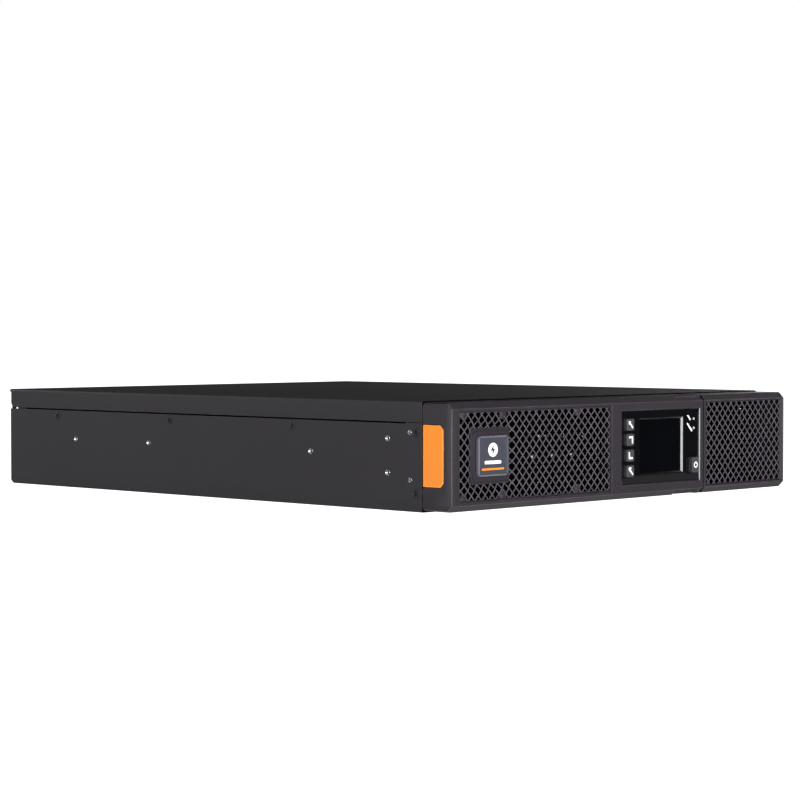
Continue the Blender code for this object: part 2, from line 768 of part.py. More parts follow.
def make_display_module():
    glass = BEZEL_FRONT + FASCIA_DEPTH + FASCIA_SHEET + FIT
    x0, z0, x1, z1 = WINDOW
    block("display_window", (x0 - 1.8, glass, z0 - 1.8), (x1 + 1.8, glass + 1.5, z1 + 1.8), "gloss_black")
    block("lcd_module", (x0 - 2.5, glass + 1.8, z0 - 3), (x1 + 2.5, BOARD_FACE - FIT, z1 + 3), "zinc")
    board = block("display_board", (-10.5, BOARD_FACE, 15), (90, BOARD_FACE + BOARD_SHEET, 71.5), "board_green")
    switches = []
    centres = [(KEY_LEFT + KEY_SIZE / 2, z) for z in KEY_HEIGHTS.values()]
    centres.append(((POWER_BUTTON[0] + POWER_BUTTON[2]) / 2, (POWER_BUTTON[1] + POWER_BUTTON[3]) / 2))
    for x, z in centres:
        switches.append(((x - 3, BUTTON_BACK + 1.2, z - 3), (x + 3, BOARD_FACE + 0.5, z + 3)))
    join(board, blocks("tact_switches", switches))
    make_light_pipe()
    make_display_ribbon()
    housing = block("display_housing", (-14, -262, 11), (93.2, -248.5, 75.2), "black_plastic")
    hollow = block("housing_hollow", (-12.5, -270, 12.5), (91.7, -250, 73.7))
    cable_slot = block("housing_slot", (35, -252, 30), (60, -240, 40))
    cut(housing, hollow, cable_slot)


def make_light_pipe():
    """Two clear rods that carry the board's lamps to the fascia, held together by a bar."""
    front = BEZEL_FRONT + FASCIA_DEPTH - 0.4
    back = BOARD_FACE - FIT
    low, high = sorted(LAMP_HEIGHTS)
    rods_mm = [((LAMP_X, (front + back) / 2, z), "Y", LAMP_RADIUS, back - front) for z in LAMP_HEIGHTS]
    pipe = block("light_pipe", (LAMP_X - 0.9, -260, low - 0.5), (LAMP_X + 0.9, -258, high + 0.5), "lamp")
    return join(pipe, rods("lamp_rods", rods_mm, segments=12))


def make_display_ribbon():
    """The flat cable from the display board's back, through its housing, to a plug at the chassis."""
    start = BOARD_FACE + BOARD_SHEET + FIT
    end = CHASSIS_FRONT + SHEET
    route = [(start, 36.0), (-247.0, 36.0), (-243.0, 31.0), (end, 31.0)]
    upper = [(y, z + 0.3) for y, z in route]
    lower = [(y, z - 0.3) for y, z in reversed(route)]
    ribbon = plate("display_ribbon", [upper + lower], "X", 37, 58, "lamp")
    return join(ribbon, block("ribbon_plug", (36, end - 4, 28.5), (59, end - 0.1, 33.5)))


# Battery pack -------------------------------------------------------------------------------------


def make_battery_pack():
    tray = block(
        "battery_tray",
        (PACK_LEFT, PACK_FRONT, PACK_FLOOR),
        (PACK_RIGHT, PACK_REAR, 50),
        "zinc",
    )
    hollow = block(
        "tray_hollow",
        (PACK_LEFT + TRAY_SHEET, PACK_FRONT + TRAY_SHEET, PACK_FLOOR + TRAY_SHEET),
        (PACK_RIGHT - TRAY_SHEET, PACK_REAR - TRAY_SHEET, 60),
    )
    cut(tray, hollow)
    left_x = PACK_LEFT + TRAY_SHEET + 0.5
    right_x = PACK_RIGHT - TRAY_SHEET - 0.5
    front_y = PACK_FRONT + TRAY_SHEET + 0.5
    floor = PACK_FLOOR + TRAY_SHEET + FIT
    number = 1
    for row in range(2):
        y = front_y + row * (BATTERY[1] + 0.5)
        for x0, x1, side in ((left_x, left_x + BATTERY[0], 1), (right_x - BATTERY[0], right_x, -1)):
            battery = block(
                f"battery_{number}", (x0, y, floor), (x1, y + BATTERY[1], floor + BATTERY[2]), "battery_case"
            )
            face = x1 if side > 0 else x0
            across = sorted((face - side * 0.5, face + side * TERMINAL))
            lid = sorted((face - side * 0.5, face + side * 1.5))
            tabs = []
            for offset in (14, BATTERY[1] - 14):
                tabs.append(
                    ((across[0], y + offset - 3.2, floor + 8), (across[1], y + offset + 3.2, floor + 9))
                )
            join(battery, blocks(f"battery_{number}_tabs", tabs))
            vent = block(
                f"battery_{number}_vent",
                (lid[0], y + 40, floor + 20),
                (lid[1], y + BATTERY[1] - 40, floor + BATTERY[2] - 12),
            )
            join(battery, vent)
            number += 1
    # A bail handle on the front wall of the pack tray, its feet standing on the wall.
    x = (PACK_LEFT + PACK_RIGHT) / 2
    wall = PACK_FRONT - FIT
    route = [(x - 45, wall, 26)]
    for step in range(5):
        angle = math.radians(22.5 * step)
        route.append((x - 45 + 7 * (1 - math.cos(angle)), wall - 4 - 7 * math.sin(angle), 26))
    route += [(2 * x - px, py, pz) for px, py, pz in reversed(route)]
    make_rod("battery_handle", route, 2.2, "black_plastic")
    pack_back = PACK_REAR + FIT
    socket = block("pack_connector", (-40, pack_back, 14), (-16, pack_back + 11, 32), "black_plastic")
    cut(socket, block("pack_connector_bore", (-37, pack_back + 4, 17), (-19, pack_back + 15, 29)))
    plug = block("bay_connector", (-40, pack_back + 11 + FIT, 14), (-16, BAY_REAR - FIT, 32), "black_plastic")
    join(plug, block("bay_connector_nose", (-36, pack_back + 5, 18), (-20, BAY_REAR - 2, 28)))


def make_rod(name, route, radius, finish):
    curve = bpy.data.curves.new(name, "CURVE")
    curve.dimensions = "3D"
    curve.bevel_depth = radius * MM
    curve.bevel_resolution = 2
    curve.use_fill_caps = True
    spline = curve.splines.new("POLY")
    spline.points.add(len(route) - 1)
    for point, place_mm in zip(spline.points, route):
        point.co = (*(Vector(place_mm) * MM), 1.0)
    curve.materials.append(make_material(name, *FINISHES[finish]))
    rod = bpy.data.objects.new(name, curve)
    parts.objects.link(rod)
    return rod


# Electronics ----------------------------------------------------------------------------------------


def heatsink(name, left, front, back):
    """An upright comb of fins on a base plate, drawn from the front and drawn out along Y."""
    fins = 6
    width = 44.0
    pitch = (width - 2.0) / (fins - 1)
    bottom = BOARD_TOP + FIT
    outline = [(left, bottom), (left + width, bottom)]
    for index in reversed(range(fins)):
        x = left + index * pitch
        outline += [(x + 2.0, 62), (x, 62)]
        if index:
            outline += [(x, bottom + 6), (x - pitch + 2.0, bottom + 6)]
    return plate(name, [outline], "Y", front, back, "aluminium")


def make_electronics():
    block(
        "main_board",
        (6, -228, BOARD_TOP - BOARD_SHEET),
        (209, 228, BOARD_TOP),
        "board_green",
    )
    block("filter_board", (-209, 114, BOARD_TOP - BOARD_SHEET), (-8, 236, BOARD_TOP), "board_green")
    control = block("control_board", (12, -200, BOARD_TOP + FIT), (13.6, -30, 70), "board_green")
    chips = blocks("control_chips", [((13.2, -150, 26), (16, -122, 54)), ((13.2, -90, 30), (15.5, -70, 50))])
    join(control, chips)
    heatsink("heatsink_left", 40, -50, 110)
    heatsink("heatsink_right", 145, -50, 110)
    for name, x in (("choke_left", 70), ("choke_right", 160)):
        bpy.ops.mesh.primitive_torus_add(
            major_segments=24,
            minor_segments=10,
            major_radius=19 * MM,
            minor_radius=9.5 * MM,
            location=Vector((x, -130, BOARD_TOP + FIT + 9.5)) * MM,
        )
        ring = bpy.context.object
        ring.name = name
        ring.data.name = name
        ring.data.materials.append(make_material(name, *FINISHES["copper"]))
        ring.data.shade_smooth()
        for home in list(ring.users_collection):
            home.objects.unlink(ring)
        parts.objects.link(ring)
    for number, y in ((1, -20), (2, 30)):
        can = rods(
            f"bus_capacitor_{number}", [((114.5, y, BOARD_TOP + FIT + 25), "Z", 17.5, 50)], "sleeve", 24
        )
        soften(can, 1.2)
    core = block("transformer", (94, 80, BOARD_TOP + FIT), (135, 125, 52), "battery_case")
    winding = block("transformer_winding", (99, 74, BOARD_TOP + 5), (130, 131, 46))
    join(core, winding)


# Fans -------------------------------------------------------------------------------------------------


def make_fan(side):
    x = FAN_CENTRES[side]
    z = FAN_HEIGHT
    back = PANEL_FACE - PANEL_SHEET - FIT
    front = back - FAN_DEPTH
    half = FAN_SIZE / 2
    outline = rounded(x - half, z - half + 0.2, x + half, z + half - 0.2, 5, steps=3)
    frame = plate(
        f"fan_frame_{side}", [outline, circle(x, z, FAN_BORE, 32)], "Y", front, back, "black_plastic"
    )
    mount = rods(f"fan_mount_{side}", [((x, front + 1.5, z), "Y", FAN_HUB, 3.0)])
    bars = []
    for index in range(2):
        reach = FAN_BORE + 1
        across = (reach, 1.5) if index else (1.5, reach)
        bars.append(((x - across[0], front + 0.1, z - across[1]), (x + across[0], front + 2.6, z + across[1])))
    struts = [blocks(f"fan_strut_{side}_{index}", [bar]) for index, bar in enumerate(bars)]
    join(frame, mount, *struts)
    hub_front = front + 3.0 + FIT
    hub_back = back - 1.0
    middle = (hub_front + hub_back) / 2
    rotor = rods(f"fan_rotor_{side}", [((x, middle, z), "Y", FAN_HUB, hub_back - hub_front)], "black_plastic", 28)
    bm = bmesh.new()
    centre = Matrix.Translation(Vector((x, middle, z)) * MM)
    for index in range(FAN_BLADES):
        around = Matrix.Rotation(math.tau * index / FAN_BLADES, 4, "Y")
        tilt = Matrix.Rotation(math.radians(42), 4, "X")
        out = Matrix.Translation(Vector((26.3, 0, 0)) * MM)
        size = Matrix.Diagonal((21.2 * MM, 1.4 * MM, 16.0 * MM, 1.0))
        bmesh.ops.create_cube(bm, size=1.0, matrix=centre @ around @ out @ tilt @ size)
    mesh = bpy.data.meshes.new(f"fan_blades_{side}")
    bm.to_mesh(mesh)
    bm.free()
    join(rotor, place(f"fan_blades_{side}", mesh, None))
    put_origin(rotor, (x, middle, z))


# Rear connections -----------------------------------------------------------------------------------

INLET = (-204.0, 9.0, -170.0, 36.0)
BANKS = {"outlet_bank_upper": (-160.0, 47.0, -50.0, 75.0), "outlet_bank_lower": (-160.0, 9.0, -50.0, 37.0)}
LARGE_OUTLET = (-43.0, 9.0, -9.0, 37.0)
BATTERY_PORT = (-43.0, 50.0, -9.0, 72.0)
SIGNAL_PORTS = (1.0, 9.0, 41.0, 44.0)
CARD_SLOT = (-1.0, 52.0, 45.0, 78.0)
BREAKER = (-187.0, 60.0)
BREAKER_NECK = 7.0
REAR_OPENINGS = (INLET, *BANKS.values(), LARGE_OUTLET, BATTERY_PORT, SIGNAL_PORTS, grown(CARD_SLOT, -3.0))
OUTLET_FRONT = 266.0


def connector_body(name, area, depth, finish="black_plastic"):
    """A block through the panel with a flange outside it."""
    body = block(name, (area[0], OUTLET_FRONT - depth, area[1]), (area[2], OUTLET_FRONT, area[3]), finish)
    wide = grown(area, 1.6)
    flange = block(name + "_flange", (wide[0], PANEL_FACE + FIT, wide[1]), (wide[2], OUTLET_FRONT + 0.3, wide[3]))
    join(body, flange)
    return body


def make_inlet():
    x0, z0, x1, z1 = INLET
    body = connector_body("power_inlet", INLET, 26)
    well = block("inlet_well", (x0 + 4, OUTLET_FRONT - 18, z0 + 4), (x1 - 4, OUTLET_FRONT + 5, z1 - 4))
    middle_x = (x0 + x1) / 2
    middle_z = (z0 + z1) / 2
    pins = []
    for dx, dz in ((-7, -3), (7, -3), (0, 4)):
        x = middle_x + dx
        z = middle_z + dz
        pins.append(((x - 4, OUTLET_FRONT - 20, z - 1), (x + 4, OUTLET_FRONT - 3, z + 1)))
    cut(body, well)
    join(body, blocks("inlet_pins", pins))


def socket_cuts(x, z, half_x, half_z, island_x, island_z):
    """The moat of one outlet, as four blocks round its island, and its three contact slots."""
    deep = OUTLET_FRONT - 14
    face = OUTLET_FRONT + 5
    moat = [
        ((x - half_x, deep, z - half_z), (x - island_x, face, z + half_z)),
        ((x + island_x, deep, z - half_z), (x + half_x, face, z + half_z)),
        ((x - island_x - 0.1, deep, z - half_z), (x + island_x + 0.1, face, z - island_z)),
        ((x - island_x - 0.1, deep, z + island_z), (x + island_x + 0.1, face, z + half_z)),
    ]
    slots = []
    for dx, dz in ((-0.55, -0.1), (0.55, -0.1), (0.0, 0.25)):
        sx = x + dx * island_x
        sz = z + dz * island_z
        slots.append(((sx - 1.1, deep + 2, sz - 2), (sx + 1.1, face, sz + 2)))
    return moat, slots


def make_outlets():
    for name, area in BANKS.items():
        body = connector_body(name, area, 24)
        width = (area[2] - area[0]) / 4
        for index in range(4):
            x = area[0] + width * (index + 0.5)
            z = (area[1] + area[3]) / 2
            moat, slots = socket_cuts(x, z, 12, 8.5, 8.2, 4.9)
            sides = blocks(f"{name}_{index}_sides", moat[:2])
            ends = blocks(f"{name}_{index}_ends", moat[2:])
            cut(body, sides, ends, blocks(f"{name}_{index}_slots", slots))
    body = connector_body("outlet_large", LARGE_OUTLET, 24)
    x = (LARGE_OUTLET[0] + LARGE_OUTLET[2]) / 2
    z = (LARGE_OUTLET[1] + LARGE_OUTLET[3]) / 2
    moat, slots = socket_cuts(x, z, 14.5, 11, 10.5, 7.2)
    cut(body, blocks("outlet_large_sides", moat[:2]), blocks("outlet_large_ends", moat[2:]))
    cut(body, blocks("outlet_large_slots", slots))


def make_signal_ports():
    x0, z0, x1, z1 = SIGNAL_PORTS
    body = connector_body("signal_ports", SIGNAL_PORTS, 20, "black_plastic")
    holes = [
        ((x0 + 3, 252, z1 - 13), (x0 + 16, 275, z1 - 3)),
        ((x0 + 22, 252, z1 - 13), (x0 + 35, 275, z1 - 3)),
        ((x0 + 3, 252, z0 + 4), (x0 + 16, 275, z0 + 15)),
    ]
    for index in range(4):
        x = x0 + 23 + index * 4
        holes.append(((x - 1.2, 258, z0 + 6), (x + 1.2, 275, z0 + 12)))
    cut(body, blocks("signal_holes", holes))
    tongue = block("usb_tongue", (x0 + 6.5, 250, z0 + 8), (x0 + 12.5, 264, z0 + 11))
    join(body, tongue)


def make_rear_details():
    make_inlet()
    make_outlets()
    make_signal_ports()
    port = connector_body("battery_port", BATTERY_PORT, 22)
    x0, z0, x1, z1 = BATTERY_PORT
    wells = [
        ((x0 + 4, 250, z0 + 5), (x0 + 15, 275, z1 - 5)),
        ((x1 - 15, 250, z0 + 5), (x1 - 4, 275, z1 - 5)),
    ]
    cut(port, blocks("battery_port_wells", wells))
    outline = rounded(*CARD_SLOT, 1.5, steps=2)
    card_y = PANEL_FACE + FIT
    plate("card_slot_cover", [outline], "Y", card_y, card_y + SHEET, "zinc")
    x, z = BREAKER
    breaker = rods("breaker_body", [((x, PANEL_FACE - 13, z), "Y", 12, 22)], "black_plastic", 16)
    collar_length = 4.0
    collar = rods("breaker_collar", [((x, PANEL_FACE, z), "Y", BREAKER_NECK, collar_length)])
    bore = rods("breaker_bore", [((x, PANEL_FACE, z), "Y", 4.5, 16)])
    join(breaker, collar)
    cut(breaker, bore)
    button = rods("breaker_button", [((x, 263, z), "Y", 4.2, 9.0)], "key_grey", 16)
    put_origin(button, (x, 263, z))


def build():
    for old in list(bpy.data.objects):
        bpy.data.objects.remove(old, do_unlink=True)
    scene = bpy.context.scene
    scene.collection.children.link(parts)
    scene.collection.children.link(cutters)
    make_base_tray()
    make_top_cover()
    make_rear_panel()
    make_front_plate()
    make_bay_divider()
    make_battery_door()
    make_display_bezel()
    make_vent_bezel()
    make_accents()
    make_left_grille()
    make_right_grille()
    make_badge()
    make_display_fascia()
    make_buttons()
    make_display_module()
    make_battery_pack()
    make_electronics()
    for side in FAN_CENTRES:
        make_fan(side)
    make_rear_details()


build()
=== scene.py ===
"""Looks of a rack or tower uninterruptible power supply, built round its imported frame.

Every place comes from the frame's own boxes. Sizes here are millimetres, and MM turns them into
scene metres. +X is to the right of someone facing the front panel, -Y is the front and +Z is up.
"""

import math
import random
from collections import namedtuple

import bmesh
import bpy
from mathutils import Matrix, Vector


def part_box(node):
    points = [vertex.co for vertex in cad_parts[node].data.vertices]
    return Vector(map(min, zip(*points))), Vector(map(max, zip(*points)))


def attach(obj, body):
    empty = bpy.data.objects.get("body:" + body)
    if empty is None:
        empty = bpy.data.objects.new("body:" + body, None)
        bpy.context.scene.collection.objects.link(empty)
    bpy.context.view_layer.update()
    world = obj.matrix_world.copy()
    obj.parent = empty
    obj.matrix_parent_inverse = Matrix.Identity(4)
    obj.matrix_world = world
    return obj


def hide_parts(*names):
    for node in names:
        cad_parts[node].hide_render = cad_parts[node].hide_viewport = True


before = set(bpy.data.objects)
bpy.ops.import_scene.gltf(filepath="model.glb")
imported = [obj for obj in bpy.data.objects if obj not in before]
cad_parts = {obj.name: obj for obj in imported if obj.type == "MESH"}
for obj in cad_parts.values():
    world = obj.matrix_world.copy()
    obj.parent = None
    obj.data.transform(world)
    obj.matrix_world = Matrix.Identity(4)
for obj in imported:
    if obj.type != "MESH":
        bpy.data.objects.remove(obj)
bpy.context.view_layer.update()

MM = 0.001
FIT = 0.3
SHEET = 1.2
LEFT, RIGHT = (-1, 0, 0), (1, 0, 0)
FRONT, REAR = (0, -1, 0), (0, 1, 0)
DOWN, UP = (0, 0, -1), (0, 0, 1)


class Box(namedtuple("Box", "x0 y0 z0 x1 y1 z1")):
    """A box between two corners, with its middle."""

    mid_x = property(lambda box: (box.x0 + box.x1) / 2)
    mid_y = property(lambda box: (box.y0 + box.y1) / 2)
    mid_z = property(lambda box: (box.z0 + box.z1) / 2)


def extent(node):
    """A node's box at rest, in millimetres."""
    low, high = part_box(node)
    return Box(*(value / MM for value in (*low, *high)))


tray_box = extent("base_tray")
cover_box = extent("top_cover")
bezel_box = extent("display_bezel")
vent_box = extent("vent_bezel")
grille_box = extent("left_grille")
door_box = extent("battery_door")
fascia_box = extent("display_fascia")
badge_box = extent("badge")
panel_box = extent("rear_panel")


# Materials ---------------------------------------------------------------------


def link(tree, start, end):
    tree.links.new(start, end)


def noise(tree, coords, scale, detail=3.0, stretch=None):
    """A noise factor over object coordinates, with scale in features for each metre."""
    if stretch:
        mapping = tree.nodes.new("ShaderNodeMapping")
        mapping.inputs["Scale"].default_value = stretch
        link(tree, coords, mapping.inputs["Vector"])
        coords = mapping.outputs["Vector"]
    texture = tree.nodes.new("ShaderNodeTexNoise")
    texture.inputs["Scale"].default_value = scale
    texture.inputs["Detail"].default_value = detail
    link(tree, coords, texture.inputs["Vector"])
    return texture.outputs["Fac"]


def voronoi(tree, coords, scale, output="Distance", metric="EUCLIDEAN"):
    texture = tree.nodes.new("ShaderNodeTexVoronoi")
    texture.distance = metric
    texture.inputs["Scale"].default_value = scale
    link(tree, coords, texture.inputs["Vector"])
    return texture.outputs[output]


def remap(tree, value, low, high, to_low, to_high):
    ranged = tree.nodes.new("ShaderNodeMapRange")
    for name, number in (("From Min", low), ("From Max", high), ("To Min", to_low), ("To Max", to_high)):
        ranged.inputs[name].default_value = number
    link(tree, value, ranged.inputs["Value"])
    return ranged.outputs["Result"]


def blend_colours(tree, factor, first, second):
    """A mix of two colours, each a tuple or another node's output."""
    mix = tree.nodes.new("ShaderNodeMix")
    mix.data_type = "RGBA"
    link(tree, factor, mix.inputs["Factor"])
    for socket, colour in ((mix.inputs[6], first), (mix.inputs[7], second)):
        if isinstance(colour, tuple):
            socket.default_value = (*colour, 1.0)
        else:
            link(tree, colour, socket)
    return mix.outputs[2]


def shade(colour, by):
    return tuple(min(channel * by, 1.0) for channel in colour)


def finish_material(
    name,
    colour,
    roughness,
    metallic=0.0,
    specular=0.5,
    mottle=(12, 0.12),
    grain=(1400, 0.12, 0.15),
    smudge=(40, 0.06),
    stretch=None,
    scuffs=0.0,
    coat=0.0,
):
    """A moulded, painted or metal finish: tone variation, uneven gloss, surface grain and light scuffs."""
    material = bpy.data.materials.new(name)
    material.use_nodes = True
    tree = material.node_tree
    shader = tree.nodes["Principled BSDF"]
    shader.inputs["Metallic"].default_value = metallic
    shader.inputs["Specular IOR Level"].default_value = specular
    shader.inputs["Coat Weight"].default_value = coat
    shader.inputs["Coat Roughness"].default_value = 0.08
    coords = tree.nodes.new("ShaderNodeTexCoord").outputs["Object"]
    tone = noise(tree, coords, mottle[0], 5.0, stretch)
    tone = remap(tree, tone, 0.3, 0.7, 0.0, 1.0)
    painted = blend_colours(tree, tone, shade(colour, 1 - mottle[1]), shade(colour, 1 + mottle[1]))
    gloss = noise(tree, coords, smudge[0], 4.0, stretch)
    gloss = remap(tree, gloss, 0.3, 0.7, roughness - smudge[1], roughness + smudge[1])
    if scuffs:
        marks = noise(tree, coords, 55, 6.0, (1.0, 9.0, 3.0))
        marks = remap(tree, marks, 0.66, 0.74, 0.0, scuffs)
        painted = blend_colours(tree, marks, painted, shade(colour, 3.0))
    link(tree, painted, shader.inputs["Base Color"])
    link(tree, gloss, shader.inputs["Roughness"])
    bump = tree.nodes.new("ShaderNodeBump")
    bump.inputs["Strength"].default_value = grain[1]
    bump.inputs["Distance"].default_value = grain[2] * MM
    link(tree, noise(tree, coords, grain[0], 2.0, stretch), bump.inputs["Height"])
    link(tree, bump.outputs["Normal"], shader.inputs["Normal"])
    return material


def spangled_material(name, colour, roughness):
    """Galvanised sheet: large irregular crystals of slightly different tone and gloss."""
    material = finish_material(name, colour, roughness, metallic=1.0, grain=(500, 0.05, 0.1))
    tree = material.node_tree
    shader = tree.nodes["Principled BSDF"]
    coords = tree.nodes["Texture Coordinate"].outputs["Object"]
    cells = voronoi(tree, coords, 130, output="Color")
    grey = tree.nodes.new("ShaderNodeRGBToBW")
    link(tree, cells, grey.inputs["Color"])
    tone = blend_colours(tree, grey.outputs["Val"], shade(colour, 0.92), shade(colour, 1.06))
    link(tree, tone, shader.inputs["Base Color"])
    gloss = remap(tree, grey.outputs["Val"], 0, 1, roughness - 0.02, roughness + 0.03)
    link(tree, gloss, shader.inputs["Roughness"])
    return material


def board_material(name):
    """Solder-masked circuit board: lighter green where copper runs under the mask, with tinned pads."""
    material = finish_material(name, (0.015, 0.12, 0.05), 0.35, grain=(900, 0.1, 0.1))
    tree = material.node_tree
    shader = tree.nodes["Principled BSDF"]
    coords = tree.nodes["Texture Coordinate"].outputs["Object"]
    runs = voronoi(tree, coords, 140, metric="CHEBYCHEV")
    traces = remap(tree, runs, 0.42, 0.46, 0.0, 1.0)
    masked = blend_colours(tree, traces, (0.012, 0.10, 0.045), (0.03, 0.20, 0.08))
    pads = remap(tree, voronoi(tree, coords, 260), 0.10, 0.08, 0.0, 1.0)
    link(tree, blend_colours(tree, pads, masked, (0.62, 0.62, 0.58)), shader.inputs["Base Color"])
    return material


CHASSIS = (0.0210, 0.0190, 0.0225)
BEZEL = (0.0250, 0.0212, 0.0260)
GLOSS = (0.0016, 0.0016, 0.0024)
FINISHES = {
    slot: finish_material(name, colour, roughness, **rest)
    for slot, name, colour, roughness, rest in (
        ("chassis_paint", "powder_coat", CHASSIS, 0.50, dict(
            specular=0.42, mottle=(7, 0.05), grain=(950, 0.22, 0.20), smudge=(25, 0.015), scuffs=0.05)),
        # Lighter copy of the powder coat, given to rounded edges: a painted highlight.
        ("chassis_edge_highlight", "powder_coat_painted_highlight", shade(CHASSIS, 1.8), 0.38, dict(
            mottle=(60, 0.4), grain=(950, 0.15, 0.15))),
        ("bezel_plastic", "spark_eroded_plastic", BEZEL, 0.40, dict(
            mottle=(9, 0.08), grain=(2100, 0.25, 0.10), smudge=(30, 0.05), scuffs=0.06)),
        # Lighter copy of the bezel plastic, given to rounded edges: a painted highlight.
        ("bezel_edge_highlight", "spark_eroded_plastic_painted_highlight", shade(BEZEL, 1.9), 0.24, dict(
            mottle=(70, 0.3), grain=(2100, 0.15, 0.08))),
        # Much lighter copy of the bezel plastic on the mesh strands' crests and flanks: a painted highlight.
        ("mesh_crest_highlight", "spark_eroded_plastic_crest_painted_highlight", shade(BEZEL, 2.9), 0.30, dict(
            specular=0.8, mottle=(120, 0.25), grain=(2100, 0.15, 0.08))),
        # Near-black: painted shade on the sheets seen through the mesh, on faces in the gaps behind the bezel
        # and inside the cover's side grooves.
        ("painted_shade_black", "painted_shade_black_sheet", (0.0012, 0.0011, 0.0013), 0.80, dict(
            specular=0.04, mottle=(30, 0.2), grain=(950, 0.2, 0.2))),
        ("display_gloss", "gloss_black", GLOSS, 0.10, dict(
            specular=0.7, mottle=(15, 0.2), grain=(30, 0.03, 0.2), smudge=(18, 0.05))),
        ("window_glass", "smoked_window", (0.0006, 0.0008, 0.0014), 0.06, dict(
            specular=0.4, mottle=(20, 0.3), grain=(20, 0.02, 0.2), smudge=(14, 0.03))),
        # Light grey on the display mouth's left-facing walls: a painted highlight.
        ("display_bevel_highlight", "painted_highlight_bevel", (0.20, 0.20, 0.21), 0.25, dict(
            specular=0.7, mottle=(20, 0.1), grain=(900, 0.05, 0.1))),
        ("key_plastic", "silicone_keys", (0.046, 0.045, 0.052), 0.52, dict(
            mottle=(80, 0.08), grain=(1800, 0.15, 0.08))),
        # Darker copy of the key plastic on the keys' sides and flanges: painted shade.
        ("key_side_shade", "silicone_key_sides", (0.022, 0.021, 0.024), 0.52, dict(
            mottle=(80, 0.12), grain=(1800, 0.15, 0.08))),
        # Near-black copy of the bezel plastic: painted shade on the mesh cells' inner walls and on the bezel
        # halves' faces at their seam.
        ("mesh_wall_shade", "spark_eroded_plastic_painted_shade", shade(BEZEL, 0.06), 0.70, dict(
            specular=0.04, mottle=(90, 0.15), grain=(2100, 0.2, 0.08))),
        ("badge_plastic", "badge_satin", (0.041, 0.043, 0.058), 0.34, dict(
            specular=0.6, mottle=(60, 0.10), grain=(1500, 0.15, 0.06))),
        # Lighter copy of the badge plastic on its rim: a painted highlight.
        ("badge_rim_highlight", "badge_rim_satin", (0.11, 0.11, 0.13), 0.28, dict(
            specular=0.6, mottle=(60, 0.10), grain=(1500, 0.1, 0.06))),
        ("accent_orange", "orange_plastic", (0.76, 0.218, 0.010), 0.42, dict(
            mottle=(14, 0.05), grain=(1800, 0.2, 0.08), scuffs=0.03)),
        # Lighter orange on the inlays' rounded rims: a painted highlight.
        ("accent_edge_highlight", "orange_plastic_painted_highlight", (0.90, 0.36, 0.07), 0.32, dict(
            mottle=(60, 0.10), grain=(1800, 0.1, 0.08))),
        ("white_print", "pad_print", (0.80, 0.80, 0.80), 0.45, dict(
            mottle=(300, 0.06), grain=(1500, 0.15, 0.05))),
        ("screw_steel", "passivated_steel", (0.56, 0.56, 0.58), 0.28, dict(
            metallic=1.0, mottle=(200, 0.15), grain=(900, 0.15, 0.1))),
        ("screw_black", "blackened_steel", (0.05, 0.05, 0.055), 0.36, dict(
            metallic=0.6, mottle=(200, 0.3), grain=(900, 0.2, 0.1))),
        ("aluminium", "extruded_aluminium", (0.62, 0.63, 0.65), 0.36, dict(
            metallic=1.0, mottle=(60, 0.08), grain=(500, 0.2, 0.1), stretch=(14.0, 0.6, 14.0))),
        ("copper_winding", "copper_winding", (0.55, 0.22, 0.08), 0.28, dict(
            metallic=1.0, mottle=(90, 0.18), grain=(700, 0.1, 0.1), coat=0.6)),
        ("battery_case", "battery_case", (0.028, 0.028, 0.032), 0.52, dict(
            mottle=(30, 0.12), grain=(1300, 0.3, 0.12), scuffs=0.12)),
        ("connector_plastic", "nylon_black", (0.012, 0.012, 0.014), 0.48, dict(
            mottle=(40, 0.10), grain=(1500, 0.2, 0.1), scuffs=0.04)),
        ("capacitor_sleeve", "capacitor_sleeve", (0.012, 0.022, 0.075), 0.26, dict(
            mottle=(40, 0.12), grain=(300, 0.08, 0.1))),
        ("lamp_clear", "lamp_clear", (0.42, 0.43, 0.44), 0.22, dict(
            mottle=(120, 0.10), grain=(600, 0.05, 0.1), coat=0.3)),
        ("dark_core", "ferrite", (0.03, 0.03, 0.033), 0.6, dict(mottle=(90, 0.2), grain=(900, 0.3, 0.15))),
    )
}
FINISHES["zinc_sheet"] = spangled_material("zinc_sheet", (0.52, 0.53, 0.55), 0.38)
FINISHES["circuit_board"] = board_material("circuit_board")


# Mesh tools, all in millimetres ------------------------------------------------


def place(name, mesh):
    thing = bpy.data.objects.new(name, mesh)
    bpy.context.scene.collection.objects.link(thing)
    return thing


def from_bmesh(name, bm):
    mesh = bpy.data.meshes.new(name)
    bm.to_mesh(mesh)
    bm.free()
    return place(name, mesh)


def add_block(bm, low, high):
    low = Vector(low)
    high = Vector(high)
    size = Matrix.Diagonal((*((high - low) * MM), 1.0))
    middle = Matrix.Translation((low + high) / 2 * MM)
    return bmesh.ops.create_cube(bm, size=1.0, matrix=middle @ size)["verts"]


def blocks(name, corners):
    bm = bmesh.new()
    for low, high in corners:
        add_block(bm, low, high)
    return from_bmesh(name, bm)


def block(name, low, high):
    return blocks(name, [(low, high)])


def tapered_block(name, front, back, front_y, back_y):
    """A block whose front and back faces are unlike rectangles (x0, z0, x1, z1)."""
    rings = []
    for area, y in ((front, front_y), (back, back_y)):
        x0, z0, x1, z1 = area
        rings.append([(x0, y, z0), (x1, y, z0), (x1, y, z1), (x0, y, z1)])
    return loft(name, rings)


def skin(bm, loops):
    """Faces between each ring of points and the next."""
    for lower, upper in zip(loops, loops[1:]):
        for i, j in zip(range(len(lower)), [*range(1, len(lower)), 0]):
            bm.faces.new((lower[i], lower[j], upper[j], upper[i]))


